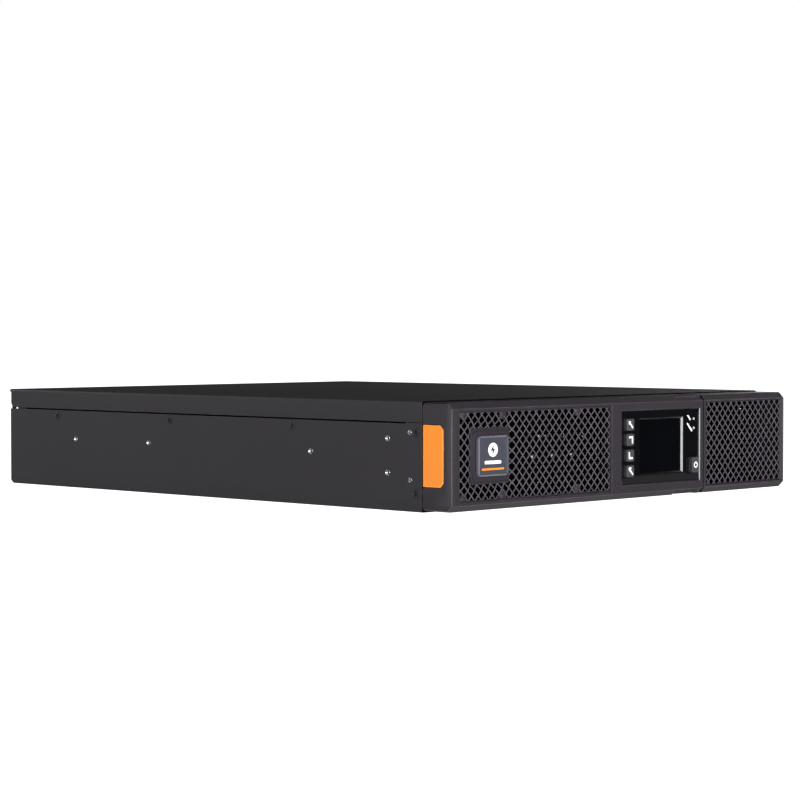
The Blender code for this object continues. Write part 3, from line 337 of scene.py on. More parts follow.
def loft(name, rings):
    """A closed skin through rings with equal numbers of points."""
    bm = bmesh.new()
    loops = []
    for ring in rings:
        loops.append([bm.verts.new(Vector(point) * MM) for point in ring])
    skin(bm, loops)
    bm.faces.new(loops[0])
    bm.faces.new(loops[-1])
    bmesh.ops.recalc_face_normals(bm, faces=bm.faces)
    return from_bmesh(name, bm)


def arc(x, y, radius, start, end, steps):
    """Points on a circle between two angles in degrees."""
    points = []
    for step in range(steps + 1):
        angle = math.radians(start + (end - start) * step / steps)
        points.append((x + radius * math.cos(angle), y + radius * math.sin(angle)))
    return points


def rounded(x0, y0, x1, y1, radius, steps=5):
    corners = ((x1 - radius, y1 - radius, 0), (x0 + radius, y1 - radius, 90))
    corners += ((x0 + radius, y0 + radius, 180), (x1 - radius, y0 + radius, 270))
    outline = []
    for x, y, start in corners:
        outline += arc(x, y, radius, start, start + 90, steps)
    return outline


def rectangle(x0, y0, x1, y1):
    return [(x0, y0), (x1, y0), (x1, y1), (x0, y1)]


def circle(x, y, radius, steps=32):
    return arc(x, y, radius, 0, 360, steps)[:-1]


def grown(area, by):
    return (area[0] - by, area[1] - by, area[2] + by, area[3] + by)


def face_of(box):
    """A box's outline seen from the front."""
    return (box.x0, box.z0, box.x1, box.z1)


def pad(name, area, corner, rows):
    """A cushion-like block: rounded rectangles at rising depths, each (inset, y)."""
    rings = []
    for inset, y in rows:
        outline = rounded(*grown(area, -inset), max(corner - inset, 0.05))
        rings.append([(x, y, z) for x, z in outline])
    return loft(name, rings)


PLATE_TURN = {
    "X": (math.pi / 2, 0.0, math.pi / 2),
    "Y": (math.pi / 2, 0.0, 0.0),
    "Z": (0.0, 0.0, 0.0),
}


def plate(name, outlines, normal, low, high):
    """A flat piece with its outline and holes drawn square to an axis, between two planes."""
    curve = bpy.data.curves.new(name, "CURVE")
    curve.dimensions = "2D"
    curve.fill_mode = "BOTH"
    curve.extrude = abs(high - low) / 2 * MM
    for outline in outlines:
        spline = curve.splines.new("POLY")
        spline.points.add(len(outline) - 1)
        for point, (across, up) in zip(spline.points, outline):
            point.co = (across * MM, up * MM, 0.0, 1.0)
        spline.use_cyclic_u = True
    drawing = place(name + "_drawing", curve)
    drawing.rotation_euler = PLATE_TURN[normal]
    drawing.location["XYZ".index(normal)] = (low + high) / 2 * MM
    return from_drawing(name, drawing)


def flat_ring(name, outer, inner, low, high):
    """A plate facing the front, with a rectangular hole."""
    return plate(name, [rectangle(*outer), rectangle(*inner)], "Y", low, high)


def weld(mesh, flatten=False):
    """Closes seams between coinciding points, and makes flat faces whole where asked."""
    bm = bmesh.new()
    bm.from_mesh(mesh)
    bmesh.ops.remove_doubles(bm, verts=bm.verts, dist=0.000005)
    if flatten:
        bmesh.ops.dissolve_limit(bm, angle_limit=math.radians(0.8), verts=bm.verts, edges=bm.edges)
    bmesh.ops.recalc_face_normals(bm, faces=bm.faces)
    bm.to_mesh(mesh)
    bm.free()


def facing(point, towards, turn=0.0):
    """The matrix that stands +Z of a small part on a direction at a point."""
    aim = Vector((0, 0, 1)).rotation_difference(Vector(towards)).to_matrix().to_4x4()
    return Matrix.Translation(Vector(point) * MM) @ aim @ Matrix.Rotation(math.radians(turn), 4, "Z")


def turned(name, profile, point=(0, 0, 0), towards=UP, segments=32):
    """A turned piece from its profile of (radius, height), bottom to top."""
    bm = bmesh.new()
    verts = [bm.verts.new((radius * MM, 0.0, height * MM)) for radius, height in profile]
    edges = [bm.edges.new(pair) for pair in zip(verts, verts[1:])]
    bmesh.ops.spin(
        bm, geom=verts + edges, cent=(0, 0, 0), axis=(0, 0, 1), angle=math.tau, steps=segments, use_merge=True
    )
    bmesh.ops.remove_doubles(bm, verts=bm.verts, dist=0.000004)
    bmesh.ops.recalc_face_normals(bm, faces=bm.faces)
    bm.transform(facing(point, towards))
    return from_bmesh(name, bm)


def rods(name, rows, segments=24):
    """Plain cylinders, each (middle, axis direction, radius, length)."""
    bm = bmesh.new()
    for middle, axis, radius, length in rows:
        bmesh.ops.create_cone(
            bm, cap_ends=True, segments=segments, radius1=radius * MM, radius2=radius * MM,
            depth=length * MM, matrix=facing(middle, axis),
        )
    return from_bmesh(name, bm)


def wire(name, routes, radius, closed=False, sides=2):
    """Round wire along one or more routes of points."""
    curve = bpy.data.curves.new(name, "CURVE")
    curve.dimensions = "3D"
    curve.bevel_depth = radius * MM
    curve.bevel_resolution = sides
    curve.use_fill_caps = True
    for route in routes:
        spline = curve.splines.new("POLY")
        spline.points.add(len(route) - 1)
        for point, where in zip(spline.points, route):
            point.co = (*(Vector(where) * MM), 1.0)
        spline.use_cyclic_u = closed
    return from_drawing(name, place(name + "_drawing", curve))


def from_drawing(name, drawing):
    """A mesh in place of a drawn curve."""
    bpy.context.view_layer.update()
    graph = bpy.context.evaluated_depsgraph_get()
    mesh = bpy.data.meshes.new_from_object(drawing.evaluated_get(graph))
    mesh.transform(drawing.matrix_world)
    mesh.materials.clear()
    bpy.data.objects.remove(drawing)
    weld(mesh)
    return place(name, mesh)


def bake(part):
    """Makes a piece's modifiers part of its mesh."""
    graph = bpy.context.evaluated_depsgraph_get()
    mesh = bpy.data.meshes.new_from_object(part.evaluated_get(graph))
    part.modifiers.clear()
    part.data = mesh
    return part


def combine(part, operation, tools):
    for tool in tools:
        modifier = part.modifiers.new("shape", "BOOLEAN")
        modifier.operation = operation
        modifier.object = tool
    bake(part)
    for tool in tools:
        bpy.data.objects.remove(tool)
    return part


def cut(part, *tools):
    return combine(part, "DIFFERENCE", tools)


def join(part, *tools):
    return combine(part, "UNION", tools)


def gather(name, *things):
    """One piece of several meshes, kept as they are."""
    bm = bmesh.new()
    for thing in things:
        bm.from_mesh(thing.data)
        bpy.data.objects.remove(thing)
    return from_bmesh(name, bm)


def scatter(name, master, spots):
    """One piece of equal copies of a small part, each at (point, direction that it faces, turn).

    The small part itself is removed.
    """
    bm = bmesh.new()
    for point, towards, turn in spots:
        copy = master.data.copy()
        copy.transform(facing(point, towards, turn))
        bm.from_mesh(copy)
        bpy.data.meshes.remove(copy)
    bpy.data.objects.remove(master)
    return from_bmesh(name, bm)


def soften(part, width, segments=2, angle=32, edge=False):
    """Rounds the sharp edges of a piece, and where asked gives the rounded edges the piece's second finish,
    which for most pieces is a lighter copy painted on as a highlight.
    """
    weld(part.data, flatten=True)
    part.data.materials.clear()
    for _ in range(2 if edge else 1):
        part.data.materials.append(None)
    part.data.shade_smooth()
    modifier = part.modifiers.new("edges", "BEVEL")
    modifier.width = width * MM
    modifier.segments = segments
    modifier.limit_method = "ANGLE"
    modifier.angle_limit = math.radians(angle)
    modifier.use_clamp_overlap = False
    modifier.harden_normals = True
    if edge:
        modifier.material = 1
    return bake(part)


def smooth(part, angle=35):
    part.data.shade_smooth()
    part.data.set_sharp_from_angle(angle=math.radians(angle))
    return part


def dress(part, body, *finishes, nodes=()):
    """Gives a piece its finishes, the body it rides on and the nodes it stands for."""
    picks = [min(polygon.material_index, len(finishes) - 1) for polygon in part.data.polygons]
    part.data.materials.clear()
    for finish in finishes:
        part.data.materials.append(FINISHES[finish])
    part.data.polygons.foreach_set("material_index", picks)
    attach(part, body)
    if nodes:
        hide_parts(*nodes)
    return part


def repaint(part, slot, test):
    """Gives another of the piece's finishes to the faces that a test picks by middle point and normal."""
    for polygon in part.data.polygons:
        if test(polygon.center / MM, polygon.normal):
            polygon.material_index = slot


def softened_node(node, body, width, *finishes, segments=2, name=None):
    """The node's own shape with rounded edges, standing for the node."""
    part = place(name or node + "_shell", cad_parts[node].data.copy())
    for layer in list(part.data.attributes):
        if layer.name.startswith("custom_normal"):
            part.data.attributes.remove(layer)
    soften(part, width, segments, edge=len(finishes) > 1)
    return dress(part, body, *finishes, nodes=(node,))


# Fasteners ---------------------------------------------------------------------


def cross_recess(part, radius, depth, top):
    """Cuts a cross-head drive into a screw."""
    wide = radius * 0.2
    tools = []
    for index, (across, along) in enumerate(((radius * 0.62, wide), (wide, radius * 0.62))):
        tools.append(block(f"drive_{index}", (-across, -along, top - depth), (across, along, top + 1)))
    return smooth(cut(part, *tools))


def flat_screw():
    """A countersunk head whose top is level with the sheet."""
    profile = [(0, -3.0), (1.6, -3.0), (1.6, -1.7), (3.2, -0.25), (3.3, -0.06), (3.1, 0), (0, 0)]
    return cross_recess(turned("flat_screw", profile, segments=24), 3.2, 1.1, 0.0)


def clinch_nut(radius, point, towards):
    """A press-in nut, level with the sheet, with a wide countersunk bore."""
    bore = radius * 0.45
    profile = [(bore, -5), (radius, -5), (radius, -0.15), (radius - 0.15, 0), (radius - 0.3, 0)]
    profile += [(bore, -1.3), (bore, -5)]
    return smooth(turned("clinch_nut", profile, point, towards, 28))


def pan_screw():
    """A domed machine screw head standing on the sheet."""
    profile = [(0, -2), (1.5, -2), (1.5, 0), (3.0, 0), (3.1, 0.5), (2.8, 1.1), (2.0, 1.6)]
    profile += [(1.0, 1.85), (0, 1.9)]
    return cross_recess(turned("pan_screw", profile, segments=24), 2.8, 1.2, 1.9)


def thumb_screw(radius, height):
    """A knurled knob with a slot."""
    count = 44
    rings = []
    for share, z in ((0.86, 0.0), (1.0, 0.6), (1.0, height - 0.7), (0.84, height)):
        ring = []
        for i in range(count):
            ridge = radius * share - (0.28 if i % 2 and share == 1.0 else 0.0)
            angle = math.tau * i / count
            ring.append((ridge * math.cos(angle), ridge * math.sin(angle), z))
        rings.append(ring)
    knob = loft("thumb_screw", rings)
    slot = block("slot", (-radius - 1, -0.55, height - 1.4), (radius + 1, 0.55, height + 1))
    return smooth(cut(knob, slot), 25)


# Enclosure ---------------------------------------------------------------------

BEND = 1.9
WALL_TOP = 68.4
SKIRT_REAR = cover_box.y1 - 1.8
COVER_LIP = 2.6
REAR_CORNER = 3.0
# Fasteners of the side walls, at (y, z), and the clinch nuts with their radius.
SIDE_SCREWS = ((-95.8, 62.8), (54.0, 62.8), (204.7, 62.8), (-231.9, 60.9), (-231.9, 14.1))
NUTS = (
    (-116.1, 42.7, 2.4), (81.7, 42.7, 2.4), (179.8, 42.7, 2.4), (-201.4, 55.6, 2.4), (-201.4, 29.2, 2.4),
    (-224.8, 60.7, 2.0), (-225.4, 24.4, 2.0),
)
REAR_DOTS = ((263.7, 52.5), (263.7, 15.1))
# Countersunk screws under the tray, at (x, y).
STANDOFFS = ((14, -215), (200, -215), (14, 215), (200, 215), (107, 0))
STANDOFFS += ((-200, 122), (-16, 122), (-200, 228), (-16, 228))
SIDES = ((LEFT, tray_box.x0), (RIGHT, tray_box.x1))


def channel(half, low, high, upside_down=False):
    """The outline of a sheet folded to a U with two round bends."""
    inner = BEND - SHEET
    points = [(-half, high)] + arc(-half + BEND, low + BEND, BEND, 180, 270, 5)
    points += arc(half - BEND, low + BEND, BEND, 270, 360, 5) + [(half, high), (half - SHEET, high)]
    points += arc(half - BEND, low + BEND, inner, 360, 270, 5)
    points += arc(-half + BEND, low + BEND, inner, 270, 180, 5) + [(-half + SHEET, high)]
    if upside_down:
        points = [(x, low + high - z) for x, z in points]
    return points


def make_tray():
    """The base: bottom and side walls in one sheet, a lip at the front, holes for every side fastener."""
    half = tray_box.x1
    tray = plate("tray_shell", [channel(half, tray_box.z0, WALL_TOP)], "Y", tray_box.y0, tray_box.y1)
    lip = 2.8 + SHEET
    lips = []
    for side in (-1, 1):
        near, far = sorted((side * (half - SHEET / 2), side * (half - lip)))
        lips.append(((near, tray_box.y0, SHEET / 2), (far, tray_box.y0 + SHEET, WALL_TOP)))
    join(tray, blocks("tray_lips", lips))
    step = block(
        "tray_step",
        (-half - 1, tray_box.y0 + 16.8, WALL_TOP - 1),
        (half + 1, tray_box.y1 + 1, WALL_TOP + 1),
    )
    holes = []
    countersinks = []
    for towards, x in SIDES:
        for y, z, radius in NUTS:
            holes.append(((x, y, z), LEFT, radius, 8))
        for y, z in REAR_DOTS:
            holes.append(((x, y, z), LEFT, 1.3, 8))
        for y, z in SIDE_SCREWS:
            cone = [(0, -3), (1.9, -3), (1.9, -1.5), (3.5, -0.1), (3.6, 1), (0, 1)]
            countersinks.append(turned("countersink", cone, (x, y, z), towards, 24))
    cut(tray, step, rods("side_holes", holes), gather("countersinks", *countersinks))
    join(tray, *rear_flanges(half))
    cut(tray, rear_corner("base_corner", tray_box.y1, 0))
    soften(tray, 0.28, edge=True, angle=40)
    # Front faces hidden behind the bezel take the near-black finish: painted shade.
    repaint(tray, 2, lambda at, normal: normal.y < -0.9 and at.y < tray_box.y0 + 1)
    return dress(tray, "chassis", "chassis_paint", "chassis_edge_highlight", "painted_shade_black", nodes=("base_tray",))


def rear_flanges(half):
    """Each side wall folds in at the rear, and the fold rises behind the cover's skirt."""
    edge = half - SHEET / 2
    inner = half - SHEET - FIT
    tip = inner - 4.5
    fold_top = WALL_TOP - 1.2
    flanges = []
    outline = [(edge, SHEET / 2), (tip, SHEET / 2), (tip, tray_box.z1), (inner, tray_box.z1)]
    outline += [(inner, fold_top), (edge, fold_top)]
    for side in (-1, 1):
        mirrored = [(side * x, z) for x, z in outline]
        flanges.append(plate("rear_flange", [mirrored], "Y", tray_box.y1 - SHEET, tray_box.y1))
    return flanges


def rear_corner(name, rear, low):
    """A wedge that cuts the lower rear corner of a side wall at 45 degrees."""
    wedge = [(rear - REAR_CORNER - 1, low - 1), (rear + 1, low - 1), (rear + 1, low + REAR_CORNER + 1)]
    return plate(name, [wedge], "X", cover_box.x0 - 1, cover_box.x1 + 1)


def make_cover():
    """The lid: top and short side walls in one sheet, lips front and rear, a stepped strip down each side."""
    half = cover_box.x1
    low = WALL_TOP + FIT
    outline = channel(half, low, cover_box.z1, upside_down=True)
    cover = plate("cover_shell", [outline], "Y", cover_box.y0, SKIRT_REAR)
    cut(cover, rear_corner("cover_corner", SKIRT_REAR, low))
    top_lip = block(
        "cover_top_lip",
        (-half + SHEET / 2, cover_box.y0, cover_box.z1 - 4),
        (half - SHEET / 2, cover_box.y0 + SHEET, cover_box.z1 - SHEET / 2),
    )
    side_lips = []
    for side in (-1, 1):
        near, far = sorted((side * (half - SHEET / 2), side * (half - 4)))
        side_lips.append(((near, cover_box.y0, low), (far, cover_box.y0 + SHEET, cover_box.z1 - 2)))
    join(cover, top_lip, blocks("cover_side_lips", side_lips))
    corner = cover_box.z1 - BEND
    lip = [(half, cover_box.z1 - COVER_LIP)] + arc(half - BEND, corner, BEND, 0, 90, 5)
    lip += [(-x, z) for x, z in reversed(lip)]
    join(cover, plate("cover_rear_lip", [lip], "Y", SKIRT_REAR - 0.6, cover_box.y1))
    steps = []
    strips = []
    inner = half - SHEET - FIT
    front = tray_box.y0 + 18.8
    rear = panel_box.y0 - FIT
    for side in (-1, 1):
        near, far = sorted((side * (half - SHEET / 2), side * (inner - SHEET)))
        steps.append(((near, front, low + 1.5), (far, rear, low + 5)))
        near, far = sorted((side * inner, side * (inner - SHEET)))
        strips.append(((near, front, cover_box.z0), (far, rear, low + 2.5)))
    join(cover, blocks("skirt_steps", steps), blocks("skirt_strips", strips))
    soften(cover, 0.28, edge=True, angle=40)
    # Faces inside the side grooves and the front faces take the near-black finish: painted shade.
    repaint(cover, 2, lambda at, normal: abs(at.x) < half - SHEET - 0.1 and at.z < low + 5.5)
    repaint(cover, 2, lambda at, normal: normal.y < -0.9 and at.y < cover_box.y0 + 1)
    return dress(cover, "chassis", "chassis_paint", "chassis_edge_highlight", "painted_shade_black", nodes=("top_cover",))


def make_side_fasteners():
    spots = []
    dots = []
    for towards, x in SIDES:
        inward = x - math.copysign(0.03, x)
        for index, (y, z) in enumerate(SIDE_SCREWS):
            spots.append(((inward, y, z), towards, 20 + 31 * index))
        dots += [((x - math.copysign(0.3, x), y, z), towards, 0) for y, z in REAR_DOTS]
    dress(scatter("flush_screws", flat_screw(), spots), "chassis", "screw_black")
    rivet = smooth(turned("rivet", [(0, -3), (1.28, -3), (1.28, -0.2), (0.9, 0), (0, 0)], segments=20))
    dress(scatter("rear_rivets", rivet, dots), "chassis", "screw_black")
    nuts = []
    for towards, x in SIDES:
        for y, z, radius in NUTS:
            nuts.append(clinch_nut(radius, (x - math.copysign(0.05, x), y, z), towards))
    dress(gather("clinch_nuts", *nuts), "chassis", "screw_steel")
    foot = turned("foot_screw", [(0, -3), (1.6, -3), (3.4, -0.2), (3.2, 0), (0, 0)], segments=20)
    cross_recess(foot, 3.2, 1.0, 0.0)
    spots = [((x, y, 0.02), DOWN, x % 90) for x, y in STANDOFFS]
    dress(scatter("standoff_screws", foot, spots), "chassis", "screw_steel")


def make_bay():
    """The battery bay's door with its fasteners, and the sheets behind the bezel."""
    # The front plate and the battery door, seen through the mesh, are painted near-black as shade.
    softened_node("front_plate", "chassis", 0.2, "painted_shade_black")
    softened_node("bay_divider", "chassis", 0.2, "zinc_sheet")
    softened_node("battery_door", "bay_door", 0.2, "painted_shade_black")
    profile = [(0, -1), (3.0, -1), (3.0, 0), (2.7, 0.6), (1.7, 1.15), (0, 1.35)]
    rivet = smooth(turned("rivet", profile, segments=20))
    y, top, row = door_box.y0, door_box.z1 - 26, door_box.z0 + 33
    spots = [((x, y, top - (x + 85) * 0.04), FRONT, 0) for x in (-85, -77, -61, -54, -30)]
    spots += [((x, y, row), FRONT, 0) for x in (-93, -69, -45)]
    dress(scatter("door_rivets", rivet, spots), "bay_door", "screw_steel")
    for name in ("door_screw_left", "door_screw_right"):
        box = extent(name)
        knob = thumb_screw((box.x1 - box.x0) / 2, 5.0)
        head = scatter(name + "_head", knob, [((box.mid_x, box.y0 + 5.0, box.mid_z), FRONT, 25)])
        middle = (box.mid_x, box.mid_y + 2, box.mid_z)
        shank = rods(name + "_shank", [(middle, REAR, 2.2, box.y1 - box.y0 - 4.5)])
        piece = gather(name + "_knob", head, smooth(shank))
        dress(piece, "bay_door", "screw_steel", nodes=(name,))


# Front bezel -------------------------------------------------------------------

FRONT_CHAMFER = 4.6
SIDE_CHAMFER = 3.2
WALL = 2.5
GRILLE_STEP = 1.2
PITCH_X, PITCH_Z = 7.9, 8.2
STRAND = 1.05
CREST = 0.28
MESH_SHEET = 1.4
left_opening = (grille_box.x0 + 1.7, grille_box.z0 + 0.7, grille_box.x1 - 1.7, grille_box.z1 - 0.7)
display_opening = (fascia_box.x0 + 1.5, fascia_box.z0 - FIT, fascia_box.x1 - 1.7, fascia_box.z1 + FIT)
badge_area = face_of(badge_box)
POCKET_MOUTH = (badge_box.x0 - 9.1, badge_box.z0 - 11.8, badge_box.x1 + 9.1, badge_box.z1 + 11.7)
POCKET_FLOOR = (badge_box.x0 - 4.9, badge_box.z0 - 5.8, badge_box.x1 + 4.9, badge_box.z1 + 5.7)
POCKET_DEPTH = 3.2


def chamfered_block(name, low, high, outer_side, front_chamfer, side_chamfer, facets=1):
    """A block cut along its long front edges, and then all round its outer side."""
    bm = bmesh.new()
    add_block(bm, low, high)
    outer = (high[0] if outer_side > 0 else low[0]) * MM

    def along(edge, axis, value):
        return all(abs(vert.co[axis] - value) < 0.0002 for vert in edge.verts)

    def lies_across(edge):
        return abs(edge.verts[0].co.x - edge.verts[1].co.x) > 0.01

    front = [edge for edge in bm.edges if along(edge, 1, low[1] * MM) and lies_across(edge)]
    bmesh.ops.bevel(bm, geom=front, offset=front_chamfer * MM, segments=1, affect="EDGES")
    side = [e for e in bm.edges if along(e, 0, outer) and not along(e, 1, high[1] * MM)]
    bmesh.ops.bevel(bm, geom=side, offset=side_chamfer * MM, segments=facets, profile=0.5, affect="EDGES")
    return from_bmesh(name, bm)


def bezel_block(name, box, outer_side):
    """The bezel's outside with its chamfers, its hollow back and the seat of the side inlay."""
    low = (box.x0, box.y0, box.z0)
    high = (box.x1, box.y1, box.z1)
    shell = chamfered_block(name, low, high, outer_side, FRONT_CHAMFER, SIDE_CHAMFER, 2)
    low = (box.x0 + WALL, box.y0 + WALL, box.z0 + WALL)
    high = (box.x1 - WALL, box.y1 + 5, box.z1 - WALL)
    hollow = chamfered_block(name + "_hollow", low, high, outer_side, FRONT_CHAMFER - 2, SIDE_CHAMFER - 2)
    accent = extent("accent_left" if outer_side < 0 else "accent_right")
    gap = 0.7
    slant = 3.4
    low, high, tip = accent.z0 - gap, accent.z1 + gap, accent.y0 - gap
    outline = [(box.y1 + 1, low), (box.y1 + 1, high), (tip + slant, high)]
    outline += [(tip, high - slant), (tip, low + slant), (tip + slant, low)]
    edge = box.x1 if outer_side > 0 else box.x0
    across = sorted((edge + outer_side, edge - outer_side * 1.8))
    return cut(shell, hollow, plate(name + "_seat", [outline], "X", *across))


def make_display_bezel():
    """The bezel half that comes off: openings for the mesh and display, tab seats, and ribs inside."""
    shell = bezel_block("display_bezel_shell", bezel_box, -1)
    front = bezel_box.y0
    openings = []
    for x0, z0, x1, z1 in (left_opening, display_opening):
        openings.append(((x0, front - 5, z0), (x1, front + 10, z1)))
    wide_opening = grown(display_opening, 0.7)
    mouth = tapered_block("display_mouth", wide_opening, display_opening, front - 0.001, front + 0.7)
    cut(shell, blocks("bezel_openings", openings), *release_seats(), mouth)
    join(shell, bezel_ribs())
    cut(shell, *seam_notches(bezel_box.x1))
    # Rounded edges take the lighter edge finish, a painted highlight.
    soften(shell, 0.32, edge=True, angle=25)
    # The end faces at the seam with the other half take the near-black finish: painted shade.
    repaint(shell, 2, lambda at, normal: at.x > bezel_box.x1 - 2.5 and normal.x > 0.5)
    mouth_side = display_opening[2] + 0.35

    def in_mouth(at, normal):
        return abs(at.x - mouth_side) < 0.4 and normal.x < -0.3 and at.y < front + 1

    # The display mouth's left-facing wall takes the light grey finish: a painted highlight.
    repaint(shell, 3, in_mouth)
    finishes = ("bezel_plastic", "bezel_edge_highlight", "mesh_wall_shade", "display_bevel_highlight")
    dress(shell, "front_bezel", *finishes, nodes=("display_bezel",))
    for name in ("release_top", "release_bottom"):
        make_release(name)


def release_seats():
    """What the release tabs need: a notch each in the bezel's edge, and room for the tab's press."""
    front = bezel_box.y0
    notches = []
    rooms = []
    for name, notch, room in (
        ("release_top", (80.6, 86), (77.0, 81.0)),
        ("release_bottom", (-1, 4.7), (4.3, 8.3)),
    ):
        tab = extent(name)
        left, right = tab.x0 - FIT, tab.x1 + FIT
        notches.append(((left, front - 1, notch[0]), (right, tab.y1 + FIT, notch[1])))
        rooms.append(((left, front + 2.2, room[0]), (right, front + 19, room[1])))
    return blocks("release_notches", notches), blocks("release_rooms", rooms)


def bezel_ribs():
    """Stiffening ribs inside the long walls, clear of the release tabs."""
    ceiling = bezel_box.z1 - WALL
    bottom = bezel_box.z0 + WALL
    tab = extent("release_top")
    ribs = []
    for x in range(-195, 90, 19):
        if tab.x0 <= x + 2 and x <= tab.x1:
            continue
        for low, high in ((ceiling - 3, ceiling + 0.5), (bottom - 0.5, bottom + 3)):
            ribs.append(((x, bezel_box.y0 + 6, low), (x + 1.2, bezel_box.y1 - 3, high)))
    return blocks("bezel_ribs", ribs)


def seam_notches(x):
    """Two V cuts where the bezel halves meet, at the top and bottom front edges."""
    front = bezel_box.y0
    low, high = bezel_box.z0, bezel_box.z1
    notches = []
    for tip, wide in ((high - 5.4, high + 1), (low + 5.4, low - 1)):
        outline = [(x - 2.0, wide), (x + 2.0, wide), (x, tip)]
        notches.append(plate("seam_notch", [outline], "Y", front - 1, front + 5.5))
    return notches


def make_release(name):
    """A release tab: the node's own shape with grip ribs along it."""
    box = extent(name)
    tab = place(name + "_tab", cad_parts[name].data.copy())
    weld(tab.data, flatten=True)
    grooves = []
    face = 83.2 if name == "release_top" else 2.1
    for index in range(8):
        x = box.x0 + 4 + index * (box.x1 - box.x0 - 8) / 7
        grooves.append(((x - 0.45, box.y0 + 3, face - 0.5), (x + 0.45, box.y1 - 4, face + 0.5)))
    cut(tab, blocks("grip_grooves", grooves))
    # Rounded edges take the lighter edge finish, a painted highlight.
    soften(tab, 0.25, edge=True, angle=30)
    dress(tab, name, "bezel_plastic", "bezel_edge_highlight", nodes=(name,))


def make_accents():
    """Orange inlays in the bezel's sides, with a soft rim painted lighter as a highlight."""
    for name, body in (("accent_left", "front_bezel"), ("accent_right", "chassis")):
        softened_node(name, body, 0.4, "accent_orange", "accent_edge_highlight", name=name + "_inlay")


def lattice_cells(bm, area, front, start):
    """The crest and flanks round every opening: diamonds in rows that step by half a cell."""
    half_x = PITCH_X / 2
    half_z = PITCH_Z / 2
    reach = half_x * half_z / math.hypot(half_x, half_z)
    crest = 1 - CREST / reach
    rim = 1 - STRAND / 2 / reach
    levels = ((1.0, 0.0), (crest, 0.0), (rim, 0.34), (rim * 0.97, MESH_SHEET), (1.0, MESH_SHEET))
    corners = ((-half_x, 0), (0, -half_z), (half_x, 0), (0, half_z))
    x0, z0, x1, z1 = area
    columns = int((x1 - x0) / half_x) + 4
    rows = int((z1 - z0) / half_z) + 4
    for column in range(columns):
        for row in range(column % 2, rows, 2):
            x = x0 + start[0] + (column - 2) * half_x
            z = z0 + start[1] + (row - 2) * half_z
            loops = []
            for share, y in levels:
                ring = [(x + dx * share, front + y, z + dz * share) for dx, dz in corners]
                loops.append([bm.verts.new(point) for point in ring])
            for level, (lower, upper) in enumerate(zip(loops, loops[1:])):
                for i in range(4):
                    j = (i + 1) % 4
                    face = bm.faces.new((lower[i], lower[j], upper[j], upper[i]))
                    # Crest and flanks take the lighter finish as a painted highlight; the inner walls take
                    # the near-black one as painted shade.
                    face.material_index = 1 if level < 2 else 2


def lattice_sheet(name, area, front, start, creases=(), depth=None, skip=None):
    """Crossed strands with a narrow flat crest and bevelled flanks, trimmed to an area."""
    bm = bmesh.new()
    lattice_cells(bm, area, front, start)
    bmesh.ops.remove_doubles(bm, verts=bm.verts, dist=0.01)
    x0, z0, x1, z1 = area
    for point, normal in (((x0, 0, 0), LEFT), ((x1, 0, 0), RIGHT), ((0, 0, z0), DOWN), ((0, 0, z1), UP)):
        trim(bm, point, normal, True)
    for point, normal in creases:
        trim(bm, point, normal, False)
    if skip:
        doomed = [face for face in bm.faces if skip(face.calc_center_median())]
        bmesh.ops.delete(bm, geom=doomed, context="FACES")
    if depth:
        for vert in bm.verts:
            vert.co.y += depth(vert.co)
    bmesh.ops.recalc_face_normals(bm, faces=bm.faces)
    bmesh.ops.scale(bm, vec=(MM, MM, MM), verts=bm.verts)
    return from_bmesh(name, bm)


def trim(bm, point, normal, clear):
    everything = bm.verts[:] + bm.edges[:] + bm.faces[:]
    bmesh.ops.bisect_plane(
        bm, geom=everything, plane_co=point, plane_no=normal, clear_outer=clear, dist=0.0005
    )


def pocket_depth(point):
    """How far the badge pocket's tapered walls lead the mesh in at a point, from 0 to its full depth."""
    mouth, floor = POCKET_MOUTH, POCKET_FLOOR
    shares = (
        (point.x - mouth[0]) / (floor[0] - mouth[0]),
        (mouth[2] - point.x) / (mouth[2] - floor[2]),
        (point.z - mouth[1]) / (floor[1] - mouth[1]),
        (mouth[3] - point.z) / (mouth[3] - floor[3]),
    )
    return max(0.0, min(1.0, *shares)) * (POCKET_DEPTH - GRILLE_STEP)


def in_pocket_floor(point):
    x0, z0, x1, z1 = POCKET_FLOOR
    return x0 < point.x < x1 and z0 < point.z < z1


def pocket_creases():
    """Planes along the pocket's mouth, its floor and its four slanting corners."""
    planes = []
    for area in (POCKET_MOUTH, POCKET_FLOOR):
        planes += [((x, 0, 0), RIGHT) for x in (area[0], area[2])]
        planes += [((0, 0, z), UP) for z in (area[1], area[3])]
    for i, k in ((0, 1), (2, 1), (0, 3), (2, 3)):
        run = (POCKET_FLOOR[i] - POCKET_MOUTH[i], POCKET_FLOOR[k] - POCKET_MOUTH[k])
        planes.append(((POCKET_MOUTH[i], 0, POCKET_MOUTH[k]), Vector((run[1], 0, -run[0])).normalized()))
    return planes


